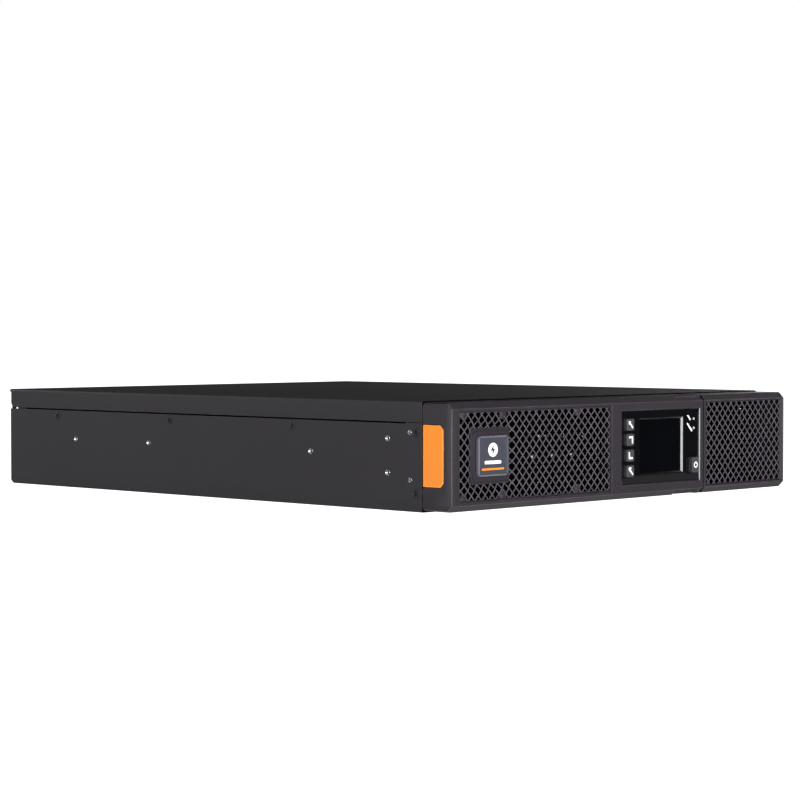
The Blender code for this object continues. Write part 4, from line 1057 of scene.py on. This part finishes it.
def make_left_grille():
    front = bezel_box.y0 + GRILLE_STEP
    area = grown(left_opening, -FIT)
    sheet = lattice_sheet(
        "grille_mesh", grown(area, -0.4), front, (2.2, 3.9), pocket_creases(), pocket_depth, in_pocket_floor
    )
    rim = flat_ring("grille_rim", area, grown(area, -1.0), front - 0.1, front + 3.2)
    flange_y = bezel_box.y0 + WALL + FIT
    flange = flat_ring("grille_flange", face_of(grille_box), grown(area, -0.9), flange_y, flange_y + 1.2)
    floor_y = bezel_box.y0 + POCKET_DEPTH
    floor_area = grown(POCKET_FLOOR, 0.5)
    pivot_hole = circle(badge_box.mid_x, badge_box.mid_z, 3.8)
    floor = plate("pocket_floor", [rounded(*floor_area, 2.5), pivot_hole], "Y", floor_y, floor_y + 1.8)
    bead_area = grown(POCKET_FLOOR, -0.3)
    bead_outlines = [rounded(*bead_area, 2.4), rounded(*grown(bead_area, -1.0), 1.6)]
    bead = plate("pocket_bead", bead_outlines, "Y", floor_y - 0.7, floor_y + 0.3)
    soften(bead, 0.3, angle=40)
    step_rows = [(0.0, floor_y + 0.3), (0.0, floor_y - 0.5), (0.15, floor_y - 0.78), (0.5, floor_y - 0.9)]
    step = smooth(pad("pocket_step", grown(badge_area, 3.3), 4.5, step_rows), 25)
    for piece in (rim, flange, floor):
        soften(piece, 0.2, angle=40)
    left, low, _, high = area
    profile = [(0, 0), (4.2, 0), (4.2, 1.0), (3.6, 1.3), (2.2, 1.35), (1.8, 1.75), (0.9, 1.95), (0, 2.0)]
    spots = ((left + 6.2, high - 2.4), (-155.5, high - 2.6), (-66.5, high - 2.6))
    spots += ((left + 5.8, low + 2.2), (-155.5, low + 2.6), (-66.5, low + 3.6))
    stakes = [smooth(turned("stake", profile, (x, front + 1.5, z), FRONT, 24)) for x, z in spots]
    piece = gather("left_grille_mesh", sheet, rim, flange, floor, bead, step, *stakes)
    dress(piece, "front_bezel", "bezel_plastic", "mesh_crest_highlight", "mesh_wall_shade", nodes=("left_grille",))


def make_badge():
    """A square plate with a raised rim, its pivot and its mark."""
    front, back = badge_box.y0, badge_box.y0 + 3.0
    rows = [(0.3, back), (0.0, back - 0.3), (0.0, front + 0.7), (0.25, front + 0.2), (0.8, front)]
    rows += [(1.3, front + 0.05), (3.2, front + 0.95), (3.6, front + 1.0)]
    body = smooth(pad("badge_plate", badge_area, 3.0, rows), 20)
    inside = grown(badge_area, -1.2)
    # The rim round the face takes the lighter finish: a painted highlight.
    for polygon in body.data.polygons:
        across, up = polygon.center.x / MM, polygon.center.z / MM
        on_face = inside[0] < across < inside[2] and inside[1] < up < inside[3]
        polygon.material_index = 0 if on_face else 1
    x, z = badge_box.mid_x, badge_box.mid_z
    reach = badge_box.y1 - back
    profile = [(0, 0), (3.4, 0), (3.4, reach - 1.6), (4.9, reach - 1.2)]
    profile += [(4.9, reach - 0.3), (4.5, reach), (0, reach)]
    stem = smooth(turned("badge_stem", profile, (x, back, z), REAR, 24))
    dress(gather("badge_body", body, stem), "badge", "badge_plastic", "badge_rim_highlight", nodes=("badge",))
    make_badge_mark(x, z, (front + 0.88, front + 1.1))


def make_badge_mark(x, z, printed):
    """A made-up mark: a disc with a bolt cut out of it, a bar and an orange line."""
    disc_z = z + 4.6
    bolt = [(0.9, 4.2), (-2.6, -0.6), (-0.5, -0.6), (-0.9, -4.2), (2.6, 0.8), (0.5, 0.8)]
    bolt = [(x + dx, disc_z + dz) for dx, dz in bolt]
    disc = plate("badge_disc", [circle(x, disc_z, 5.4), bolt], "Y", *printed)
    bar = plate("badge_bar", [rounded(x - 9.5, z - 6.2, x + 9.5, z - 3.6, 1.2)], "Y", *printed)
    dress(soften(gather("badge_mark", disc, bar), 0.05, 1), "badge", "white_print")
    line = plate("badge_line", [rounded(x - 12.6, z - 10.9, x + 12.6, z - 9.3, 0.3)], "Y", *printed)
    dress(soften(line, 0.05, 1), "badge", "accent_orange")


def make_vent_bezel():
    """The fixed bezel half: a deep tapered mouth with the mesh at its bottom."""
    shell = bezel_block("vent_bezel_shell", vent_box, 1)
    front = vent_box.y0
    mesh_y = front + 3.0
    mouth = (101.0, 7.0, 211.4, 78.5)
    bottom = (101.6, 8.4, 210.1, 77.0)
    x0, z0, x1, z1 = (vent_box.x0 + 1.2, vent_box.z0 + 3.0, vent_box.x1 - 1.8, vent_box.z1 - 3.0)
    frame_outline = [(x0, z0), (x1 - 2, z0), (x1, z0 + 2), (x1, z1 - 2), (x1 - 2, z1), (x0, z1)]
    join(shell, plate("vent_frame", [frame_outline], "Y", front + 2.0, mesh_y + 0.4))
    hole = block("vent_hole", (bottom[0], mesh_y - 0.1, bottom[1]), (bottom[2], mesh_y + 2, bottom[3]))
    cut(shell, tapered_block("vent_mouth", mouth, bottom, front - 0.01, mesh_y), hole)
    cut(shell, *seam_notches(vent_box.x0))
    # Rounded edges take the lighter edge finish, a painted highlight.
    soften(shell, 0.32, edge=True, angle=22)
    # The end faces at the seam with the display bezel take the near-black finish: painted shade.
    repaint(shell, 2, lambda at, normal: at.x < vent_box.x0 + 2.5 and normal.x < -0.5)
    dress(shell, "chassis", "bezel_plastic", "bezel_edge_highlight", "mesh_wall_shade", nodes=("vent_bezel",))
    sheet = lattice_sheet("vent_lattice", grown(bottom, 0.8), mesh_y - 0.05, (3.3, 2.6))
    plate_area = face_of(extent("right_grille"))
    flange = flat_ring("vent_flange", plate_area, grown(bottom, 0.6), mesh_y + 0.5, mesh_y + 1.5)
    soften(flange, 0.15)
    piece = gather("right_grille_mesh", sheet, flange)
    dress(piece, "chassis", "bezel_plastic", "mesh_crest_highlight", "mesh_wall_shade", nodes=("right_grille",))


# Display -----------------------------------------------------------------------


def make_display():
    """Gloss surround, smoked window, keys, power button, lamps and their printed marks."""
    finishes = ("display_gloss", "display_gloss", "display_bevel_highlight")
    fascia = softened_node("display_fascia", "front_bezel", 0.22, *finishes)
    ramp = extent("display_window").x1 - 2.4

    def on_ramp(at, normal):
        return abs(at.x - ramp) < 1.3 and at.y < -265.9 and normal.x < -0.4 and normal.y < -0.3

    # The window's left-facing ramp wall takes the light grey finish: a painted highlight.
    repaint(fascia, 2, on_ramp)
    for name, width, finish in (
        ("display_window", 0.3, "window_glass"),
        ("light_pipe", 0.15, "lamp_clear"),
        ("lcd_module", 0.3, "zinc_sheet"),
        ("display_board", 0.15, "circuit_board"),
        ("display_housing", 0.5, "connector_plastic"),
        ("display_ribbon", 0.1, "lamp_clear"),
    ):
        softened_node(name, "front_bezel", width, finish)
    for name in ("key_escape", "key_up", "key_down", "key_enter", "power_button"):
        make_button(name)
    marks = []
    for start, end in (((76.7, 67.3), (80.0, 63.8)), ((76.7, 60.0), (82.3, 54.4))):
        marks.append(stroke(start, end, 1.5))
    printed = fascia_box.y0 + 1.5
    piece = plate("lamp_marks", marks, "Y", printed - 0.08, printed + 0.1)
    dress(soften(piece, 0.03, 1), "front_bezel", "white_print")


def stroke(start, end, width):
    """The outline of a straight stroke with square ends."""
    run = Vector((end[0] - start[0], end[1] - start[1])).normalized() * width / 2
    side = Vector((-run.y, run.x))
    a, b = Vector(start), Vector(end)
    return [tuple(a - run + side), tuple(b + run + side), tuple(b + run - side), tuple(a - run - side)]


# The plain mark on each key's cap, as (across, up) from its middle.
GLYPHS = {
    "key_escape": [(-2.9, 3.1), (0.3, 2.5), (-0.5, 1.7), (3.2, -2.2), (2.2, -3.2), (-1.5, 0.7), (-2.3, -0.1)],
    "key_up": [(-2.2, 2.9), (2.9, 2.9), (2.9, -2.9), (1.3, -2.9), (1.3, 1.3), (-2.2, 1.3)],
    "key_down": [(-2.6, 2.9), (-1.0, 2.9), (-1.0, -1.3), (2.6, -1.3), (2.6, -2.9), (-2.6, -2.9)],
    "key_enter": [(-2.6, 3.1), (0.9, 3.1), (0.9, 1.9), (-0.6, 1.9), (3.3, -2.3), (2.3, -3.3), (-2.6, 1.2)],
}


def make_button(name):
    """A cap with a gently domed face and its mark, over the node's own flange."""
    box = extent(name)
    area = grown(face_of(box), -0.8)
    front = box.y0
    rows = [(0.0, box.y1), (0.0, front + 0.9), (0.15, front + 0.4), (0.6, front + 0.1), (2.2, front + 0.03)]
    cap = smooth(pad(name + "_cap_skin", area, 1.2, rows), 25)
    rows = [(0.0, box.y1 - 0.2), (0.0, box.y1 - 1.9), (0.2, box.y1 - 2.1)]
    flange = pad(name + "_flange", face_of(box), 1.0, rows)
    # The cap's sides and the flange take the darker finish: painted shade.
    for polygon in cap.data.polygons:
        polygon.material_index = 0 if polygon.center.y < (front + 0.45) * MM else 1
    piece = gather(name + "_cap", cap, smooth(flange))
    dress(piece, name, "key_plastic", "key_side_shade", nodes=(name,))
    x, z = (area[0] + area[2]) / 2, (area[1] + area[3]) / 2
    outlines = [circle(x, z, 2.6), circle(x, z, 1.4)]
    if name in GLYPHS:
        outlines = [[(x + dx, z + dz) for dx, dz in GLYPHS[name]]]
    mark = plate(name + "_mark", outlines, "Y", front, front + 0.25)
    dress(mark, name, "white_print")


# Battery pack ------------------------------------------------------------------


def make_battery_pack():
    softened_node("battery_tray", "battery_pack", 0.25, "zinc_sheet")
    softened_node("battery_handle", "battery_pack", 0.1, "connector_plastic")
    softened_node("pack_connector", "battery_pack", 0.4, "connector_plastic")
    softened_node("bay_connector", "chassis", 0.4, "connector_plastic")
    for number in range(1, 5):
        make_battery(number)


def make_battery(number):
    """A sealed lead-acid block: case, lid seam, vent strip and two tab terminals on its inner side."""
    name = f"battery_{number}"
    box = extent(name)
    inward = 1 if number % 2 else -1
    face = box.x1 - 5.0 if inward > 0 else box.x0 + 5.0
    x0, x1 = sorted((face, box.x0 if inward > 0 else box.x1))
    seam = x1 - 14 if inward > 0 else x0 + 14
    near, far = sorted((seam - 0.5, seam + 0.5))
    case = block("case", (x0, box.y0, box.z0), (x1, box.y1, box.z1))
    over_top = ((near, box.y0 - 1, box.z1 - 0.6), (far, box.y1 + 1, box.z1 + 1))
    down_front = ((near, box.y0 - 1, box.z0 - 1), (far, box.y0 + 0.6, box.z1 + 1))
    down_rear = ((near, box.y1 - 0.6, box.z0 - 1), (far, box.y1 + 1, box.z1 + 1))
    cut(case, blocks("seam", [over_top]), blocks("seam", [down_front, down_rear]))
    soften(case, 1.0, 3)
    lid = sorted((face - inward * 0.4, face + inward * 1.5))
    vent = block("vent", (lid[0], box.y0 + 40, box.z0 + 20), (lid[1], box.y1 - 40, box.z1 - 12))
    soften(vent, 0.5)
    dress(gather(name + "_case", case, vent), "battery_pack", "battery_case", nodes=(name,))
    tabs = []
    near, far = sorted((face - inward * 0.5, face + inward * 5.0))
    for y in (box.y0 + 14, box.y1 - 14):
        outlines = [rounded(near, y - 3.2, far, y + 3.2, 0.8), circle((near + far) / 2, y, 1.0, 16)]
        tabs.append(plate("tab", outlines, "Z", box.z0 + 8, box.z0 + 9))
    dress(soften(gather(name + "_terminals", *tabs), 0.12), "battery_pack", "screw_steel")


# Electronics -------------------------------------------------------------------


def make_electronics():
    for name in ("main_board", "filter_board", "control_board"):
        softened_node(name, "chassis", 0.12, "circuit_board")
    for name in ("heatsink_left", "heatsink_right"):
        softened_node(name, "chassis", 0.2, "aluminium")
    for name in ("choke_left", "choke_right"):
        make_choke(name)
    for name in ("bus_capacitor_1", "bus_capacitor_2"):
        make_capacitor(name)
    make_transformer()
    make_board_parts()


def make_choke(name):
    """A ring core under one layer of thick enamelled wire."""
    box = extent(name)
    thick = (box.z1 - box.z0) / 2
    ring = (box.x1 - box.x0) / 2 - thick

    def on_ring(around, about, radius):
        reach = ring + radius * math.cos(about)
        x = box.mid_x + reach * math.cos(around)
        return x, box.mid_y + reach * math.sin(around), box.mid_z + radius * math.sin(about)

    core = ring_core(name + "_core", on_ring, thick - 1.9)
    dress(smooth(core, 60), "chassis", "dark_core")
    wraps, per_wrap = 46, 10
    route = []
    for i in range(wraps * per_wrap):
        share = i / (wraps * per_wrap)
        around = math.radians(12) + share * math.radians(336)
        route.append(on_ring(around, math.tau * wraps * share, thick - 0.95))
    winding = smooth(wire(name + "_winding", [route], 0.9), 60)
    dress(winding, "chassis", "copper_winding", nodes=(name,))


def ring_core(name, on_ring, radius):
    """A closed ring of round section."""
    bm = bmesh.new()
    turns, sides = 48, 14
    loops = []
    for i in range(turns):
        ring = [on_ring(math.tau * i / turns, math.tau * k / sides, radius) for k in range(sides)]
        loops.append([bm.verts.new(Vector(point) * MM) for point in ring])
    skin(bm, loops + loops[:1])
    bmesh.ops.recalc_face_normals(bm, faces=bm.faces)
    return from_bmesh(name, bm)


def make_capacitor(name):
    """A sleeved can with a rolled neck and a vented top."""
    box = extent(name)
    radius, height = (box.x1 - box.x0) / 2, box.z1 - box.z0
    profile = [(0, 0), (radius - 1, 0), (radius, 1), (radius, 4)]
    profile += [(radius - 1.3, 5), (radius - 1.3, 5.6), (radius, 6.6)]
    profile += [(radius, height - 1.6), (radius - 1.2, height - 0.4)]
    profile += [(radius - 2.6, height - 0.4), (radius - 3, height - 0.9), (0, height - 0.9)]
    can = turned(name + "_can", profile, (box.mid_x, box.mid_y, box.z0), UP, 40)
    dress(smooth(can), "chassis", "capacitor_sleeve", nodes=(name,))


def make_transformer():
    box = extent("transformer")
    core = place("transformer_core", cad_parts["transformer"].data.copy())
    soften(core, 0.5)
    dress(core, "chassis", "dark_core", nodes=("transformer",))
    outline = rounded(box.x0 + 5.4, box.y0 + 0.5, box.x1 - 5.4, box.y1 - 0.5, 3)
    layers = []
    z = box.z0 + 7
    while z < box.z1 - 8:
        layers.append([(x, y, z) for x, y in outline])
        z += 1.9
    dress(smooth(wire("transformer_winding", layers, 0.45, closed=True), 60), "chassis", "copper_winding")


def make_board_parts():
    """Small parts soldered on the boards: blocks with legs, in a fixed but irregular order."""
    chance = random.Random(4)
    board = extent("main_board")
    dark, light = [], []
    for _ in range(60):
        x = chance.uniform(board.x0 + 8, board.x1 - 12)
        y = chance.choice((chance.uniform(-222, -190), chance.uniform(-90, -60), chance.uniform(140, 222)))
        wide, deep, tall = chance.uniform(2, 8), chance.uniform(2, 8), chance.uniform(1, 9)
        row = ((x, y, board.z1 + 0.1), (x + wide, y + deep, board.z1 + tall))
        (dark if chance.random() < 0.7 else light).append(row)
    dress(soften(blocks("board_chips", dark), 0.25), "chassis", "connector_plastic")
    dress(soften(blocks("board_relays", light), 0.3), "chassis", "lamp_clear")


# Fans --------------------------------------------------------------------------


HUB_RADIUS = 17.0
BLADE_TIP = 36.6
BLADES = 7
# How many faces a blade has along it and across it.
BLADE_GRID = 8
GUARD_RINGS = (13, 20, 27, 34, 39.5)


def make_fan(side):
    """Frame, a rotor with swept blades, and the wire guard outside the panel."""
    frame_name = f"fan_frame_{side}"
    rotor_name = f"fan_rotor_{side}"
    softened_node(frame_name, "chassis", 0.4, "connector_plastic")
    box = extent(frame_name)
    rotor = extent(rotor_name)
    depth = rotor.y1 - rotor.y0
    profile = [(0, 0), (HUB_RADIUS - 0.6, 0), (HUB_RADIUS, 0.8), (HUB_RADIUS, depth - 1.2)]
    profile += [(HUB_RADIUS - 1.4, depth), (9, depth), (8.6, depth - 0.3), (0, depth - 0.3)]
    hub = turned(f"fan_hub_{side}", profile, (box.mid_x, rotor.y0, box.mid_z), REAR, 48)
    blades = fan_blades(f"fan_blades_{side}", box.mid_x, rotor.mid_y, box.mid_z)
    piece = gather(rotor_name + "_blades", smooth(hub), smooth(blades, 40))
    dress(piece, rotor_name, "connector_plastic", nodes=(rotor_name,))
    make_guard(side, box.mid_x, box.mid_z)


def fan_blades(name, x, y, z):
    """Thin twisted blades that sweep back towards their tips."""
    skins = bmesh.new()
    for blade in range(BLADES):
        grid = []
        for i in range(BLADE_GRID + 1):
            out = i / BLADE_GRID
            reach = HUB_RADIUS - 0.5 + (BLADE_TIP - HUB_RADIUS) * out
            sweep = math.tau * blade / BLADES + 0.30 * out ** 1.5
            row = []
            for k in range(BLADE_GRID + 1):
                share = k / BLADE_GRID - 0.5
                angle = sweep + share * (0.78 - 0.10 * out)
                lead = share * 14.0 + 2.2 * (share * share * 4 - 0.5)
                point = (x + reach * math.cos(angle), y + lead, z + reach * math.sin(angle))
                row.append(skins.verts.new(Vector(point) * MM))
            grid.append(row)
        for row, after in zip(grid, grid[1:]):
            for k in range(BLADE_GRID):
                skins.faces.new((row[k], row[k + 1], after[k + 1], after[k]))
    blades = from_bmesh(name, skins)
    thick = blades.modifiers.new("thick", "SOLIDIFY")
    thick.thickness = 1.1 * MM
    thick.offset = 0.0
    return bake(blades)


def make_guard(side, x, z):
    """Round wire rings on four spokes."""
    y = panel_box.y1 + 1.4
    rings = [[(px, y, pz) for px, pz in circle(x, z, radius, 48)] for radius in GUARD_RINGS]
    spokes = []
    for angle in (45, 135, 225, 315):
        dx, dz = math.cos(math.radians(angle)), math.sin(math.radians(angle))
        spokes.append([(x + dx * reach, y + 1.3, z + dz * reach) for reach in (12, 45.5)])
    rings = wire(f"guard_rings_{side}", rings, 0.8, closed=True)
    guard = gather(f"fan_guard_{side}", rings, wire(f"guard_spokes_{side}", spokes, 0.8))
    dress(smooth(guard, 60), "chassis", "screw_steel")


# Rear connections --------------------------------------------------------------


def make_rear():
    # The rounded edges of the panel and the card cover take the lighter edge finish, a painted highlight.
    softened_node("rear_panel", "chassis", 0.22, "chassis_paint", "chassis_edge_highlight")
    sockets = ("power_inlet", "outlet_bank_upper", "outlet_bank_lower", "outlet_large")
    for name in sockets + ("signal_ports", "battery_port"):
        softened_node(name, "chassis", 0.25, "connector_plastic")
    softened_node("breaker_body", "chassis", 0.3, "connector_plastic")
    softened_node("breaker_button", "breaker_button", 0.3, "key_plastic")
    softened_node("card_slot_cover", "chassis", 0.2, "chassis_paint", "chassis_edge_highlight")
    make_contacts()
    make_panel_screws()


# Outlets: (node, how many, half the distances between the contacts across and up).
OUTLETS = (
    ("outlet_bank_upper", 4, 8.2, 4.9),
    ("outlet_bank_lower", 4, 8.2, 4.9),
    ("outlet_large", 1, 10.5, 7.2),
)


def outlet_contacts(name, count, spread_x, spread_z):
    """A pair of spring leaves in each slot of a row of outlets."""
    x0, z0, x1, z1 = grown(face_of(extent(name)), -1.6)
    width = (x1 - x0) / count
    deep = panel_box.y1 - 10
    rows = []
    for index in range(count):
        for dx, dz in ((-0.55, -0.1), (0.55, -0.1), (0.0, 0.25)):
            x = x0 + width * (index + 0.5) + dx * spread_x
            z = (z0 + z1) / 2 + dz * spread_z
            for side in (-1, 1):
                near, far = sorted((x + side * 0.95, x + side * 0.55))
                rows.append(((near, deep, z - 1.6), (far, deep + 7, z + 1.6)))
    return rows


def make_contacts():
    """Metal contacts inside the outlets, the battery port and the data sockets."""
    rows = [row for outlet in OUTLETS for row in outlet_contacts(*outlet)]
    port = extent("battery_port")
    for x in (port.x0 + 11.1, port.x1 - 11.1):
        rows.append(((x - 3, port.y0 + 8, port.z0 + 9), (x + 3, port.y1 - 3, port.z0 + 10.6)))
    dress(soften(blocks("rear_contacts", rows), 0.1, 1), "chassis", "screw_steel")
    ports = extent("signal_ports")
    depth = (ports.y1 - 9, ports.y1 + 0.3)
    x0, z0, z1 = ports.x0 + 1.6, ports.z0 + 1.6, ports.z1 - 1.6
    shells = []
    pins = []
    for left in (x0 + 3, x0 + 22):
        hole = (left, z1 - 13, left + 13, z1 - 3)
        shells.append(flat_ring("shell", grown(hole, 0.9), grown(hole, -0.3), *depth))
        for k in range(8):
            x = left + 2.0 + k * 1.25
            pins.append(((x - 0.2, ports.y1 - 11, z1 - 12.4), (x + 0.2, ports.y1 - 3, z1 - 11.4)))
    usb = (x0 + 3, z0 + 4, x0 + 16, z0 + 15)
    shells.append(flat_ring("shell", grown(usb, 0.7), grown(usb, -0.4), *depth))
    dress(soften(gather("port_shells", *shells), 0.15), "chassis", "screw_steel")
    dress(soften(blocks("port_pins", pins), 0.05, 1), "chassis", "copper_winding")


# Screws round the rear panel, at (x, z), and the earth stud.
PANEL_SCREWS = ((-208, 78), (-208, 5.5), (-105, 80), (-105, 5), (53, 80), (53, 5), (208, 80), (208, 5))
EARTH = (-26, 43.6)


def make_panel_screws():
    """Screws along the rear panel, thumbscrews of the card slot, and the earth stud."""
    y = panel_box.y1
    spots = [((x, y, z), REAR, 17 + 29 * index) for index, (x, z) in enumerate(PANEL_SCREWS)]
    for side in ("left", "right"):
        box = extent(f"fan_frame_{side}")
        for dx in (-1, 1):
            for dz in (-1, 1):
                place_at = (box.mid_x + dx * 33.5, y + 1.4, box.mid_z + dz * 33.5)
                spots.append((place_at, REAR, 11 * (dx + dz)))
    dress(scatter("panel_screws", pan_screw(), spots), "chassis", "screw_black")
    card = extent("card_slot_cover")
    spots = [((card.x0 + 5.5, card.y1, card.mid_z), REAR, 10)]
    spots.append(((card.x1 - 5.5, card.y1, card.mid_z), REAR, 40))
    dress(scatter("card_thumbscrews", thumb_screw(3.6, 4.2), spots), "chassis", "screw_steel")
    nut = plate("earth_nut", [circle(*EARTH, 4.0, 6), circle(*EARTH, 1.9, 20)], "Y", y + 0.9, y + 3.6)
    washer = plate("earth_washer", [circle(*EARTH, 4.6, 28), circle(*EARTH, 2.0, 20)], "Y", y, y + 0.8)
    profile = [(0, 0), (1.8, 0), (1.8, 5.4), (1.3, 6), (0, 6)]
    stud = turned("earth_stud", profile, (EARTH[0], y, EARTH[1]), REAR, 20)
    soften(nut, 0.3)
    soften(washer, 0.15)
    dress(gather("earth_terminal", nut, washer, smooth(stud)), "chassis", "screw_steel")


# Studio ------------------------------------------------------------------------

CAMERA_PLACE = (-1.5685, -1.5185, 0.1429)
CAMERA_YAW = 46.077
CAMERA_PITCH = 1.756
CAMERA_LENS = 110.66


def make_camera():
    camera = place("camera", bpy.data.cameras.new("camera"))
    camera.data.lens = CAMERA_LENS
    camera.data.sensor_width = 36.0
    camera.data.clip_start = 0.01
    camera.data.clip_end = 200.0
    camera.location = CAMERA_PLACE
    camera.rotation_euler = (math.radians(90 - CAMERA_PITCH), 0.0, math.radians(-CAMERA_YAW))
    bpy.context.scene.camera = camera


# Soft patches of light that reflections see: (direction, cosine where it starts, where it is full, strength).
GLOW = (
    ((-0.75, -0.35, 0.45), 0.20, 0.95, 0.55),
    ((0.70, -0.62, 0.36), 0.93, 0.985, 0.25),
    ((0.00, -1.00, 0.10), 0.93, 0.985, 0.25),
    ((-0.98, 0.15, 0.05), 0.91, 0.980, 1.50),
    ((0.0, 0.0, -1.0), 0.42, 0.75, 0.40),
)


def brighter(tree, first, second):
    node = tree.nodes.new("ShaderNodeMath")
    node.operation = "MAXIMUM"
    link(tree, first, node.inputs[0])
    link(tree, second, node.inputs[1])
    return node.outputs[0]


def make_world():
    """White behind, an even fill, and for reflections a dim room that is lighter over the camera side."""
    world = bpy.data.worlds.new("studio")
    bpy.context.scene.world = world
    world.use_nodes = True
    tree = world.node_tree
    background = tree.nodes["Background"]
    direction = tree.nodes.new("ShaderNodeTexCoord").outputs["Generated"]
    glow = None
    for aim, start, end, strength in GLOW:
        toward = tree.nodes.new("ShaderNodeVectorMath")
        toward.operation = "DOT_PRODUCT"
        toward.inputs[1].default_value = Vector(aim).normalized()
        link(tree, direction, toward.inputs[0])
        patch = remap(tree, toward.outputs["Value"], start, end, 0.04, strength)
        glow = patch if glow is None else brighter(tree, glow, patch)
    paths = tree.nodes.new("ShaderNodeLightPath")
    height = tree.nodes.new("ShaderNodeSeparateXYZ")
    link(tree, direction, height.inputs[0])
    fill = remap(tree, height.outputs["Z"], 0.05, 0.50, 0.32, 0.08)
    seen = blend_colours(tree, paths.outputs["Is Camera Ray"], fill, (1.0, 1.0, 1.0))
    colour = blend_colours(tree, paths.outputs["Is Glossy Ray"], seen, glow)
    link(tree, colour, background.inputs["Color"])
    background.inputs["Strength"].default_value = 1.0


def make_floor():
    """A wide pale sheet, so evenly lit that it runs into the background."""
    bm = bmesh.new()
    bmesh.ops.create_circle(bm, cap_ends=True, radius=40.0, segments=64)
    floor = from_bmesh("floor", bm)
    material = bpy.data.materials.new("pale_floor")
    material.use_nodes = True
    tree = material.node_tree
    shader = tree.nodes["Principled BSDF"]
    shader.inputs["Roughness"].default_value = 0.9
    shader.inputs["Specular IOR Level"].default_value = 0.1
    coords = tree.nodes.new("ShaderNodeTexCoord").outputs["Object"]
    tone = noise(tree, coords, 3.0)
    link(tree, blend_colours(tree, tone, (0.40, 0.40, 0.40), (0.43, 0.43, 0.43)), shader.inputs["Base Color"])
    shader.inputs["Emission Color"].default_value = (1.0, 1.0, 1.0, 1.0)
    shader.inputs["Emission Strength"].default_value = 1.35
    floor.data.materials.append(material)
    floor.visible_glossy = False


def make_light(name, place_at, aim, size, power, mirrored=True):
    light = bpy.data.lights.new(name, "AREA")
    light.shape = "RECTANGLE"
    light.size, light.size_y = size
    light.energy = power
    lamp = place(name, light)
    lamp.location = place_at
    lamp.rotation_euler = (Vector(aim) - Vector(place_at)).to_track_quat("-Z", "Y").to_euler()
    lamp.visible_camera = False
    lamp.visible_glossy = mirrored


def make_studio():
    make_camera()
    make_world()
    make_floor()
    make_light("camera_side_softbox", (-2.0, -2.1, 0.42), (0, -0.1, 0.04), (1.8, 1.2), 56)
    make_light("front_softbox", (0.1, -2.6, 0.30), (0, -0.1, 0.04), (1.4, 1.0), 56, mirrored=False)
    make_light("rear_softbox", (-0.5, 2.6, 0.7), (0, 0.1, 0.04), (1.6, 1.0), 16)
    make_light("right_softbox", (2.5, 0.5, 0.6), (0, 0, 0.04), (1.6, 1.0), 8)
    make_light("overhead_softbox", (0.0, 0.1, 2.6), (0, 0, 0), (2.0, 2.0), 4)
    bpy.context.scene.view_settings.view_transform = "Standard"


def build():
    make_studio()
    make_tray()
    make_cover()
    make_side_fasteners()
    make_bay()
    make_display_bezel()
    make_accents()
    make_left_grille()
    make_badge()
    make_vent_bezel()
    make_display()
    make_battery_pack()
    make_electronics()
    make_fan("left")
    make_fan("right")
    make_rear()


build()
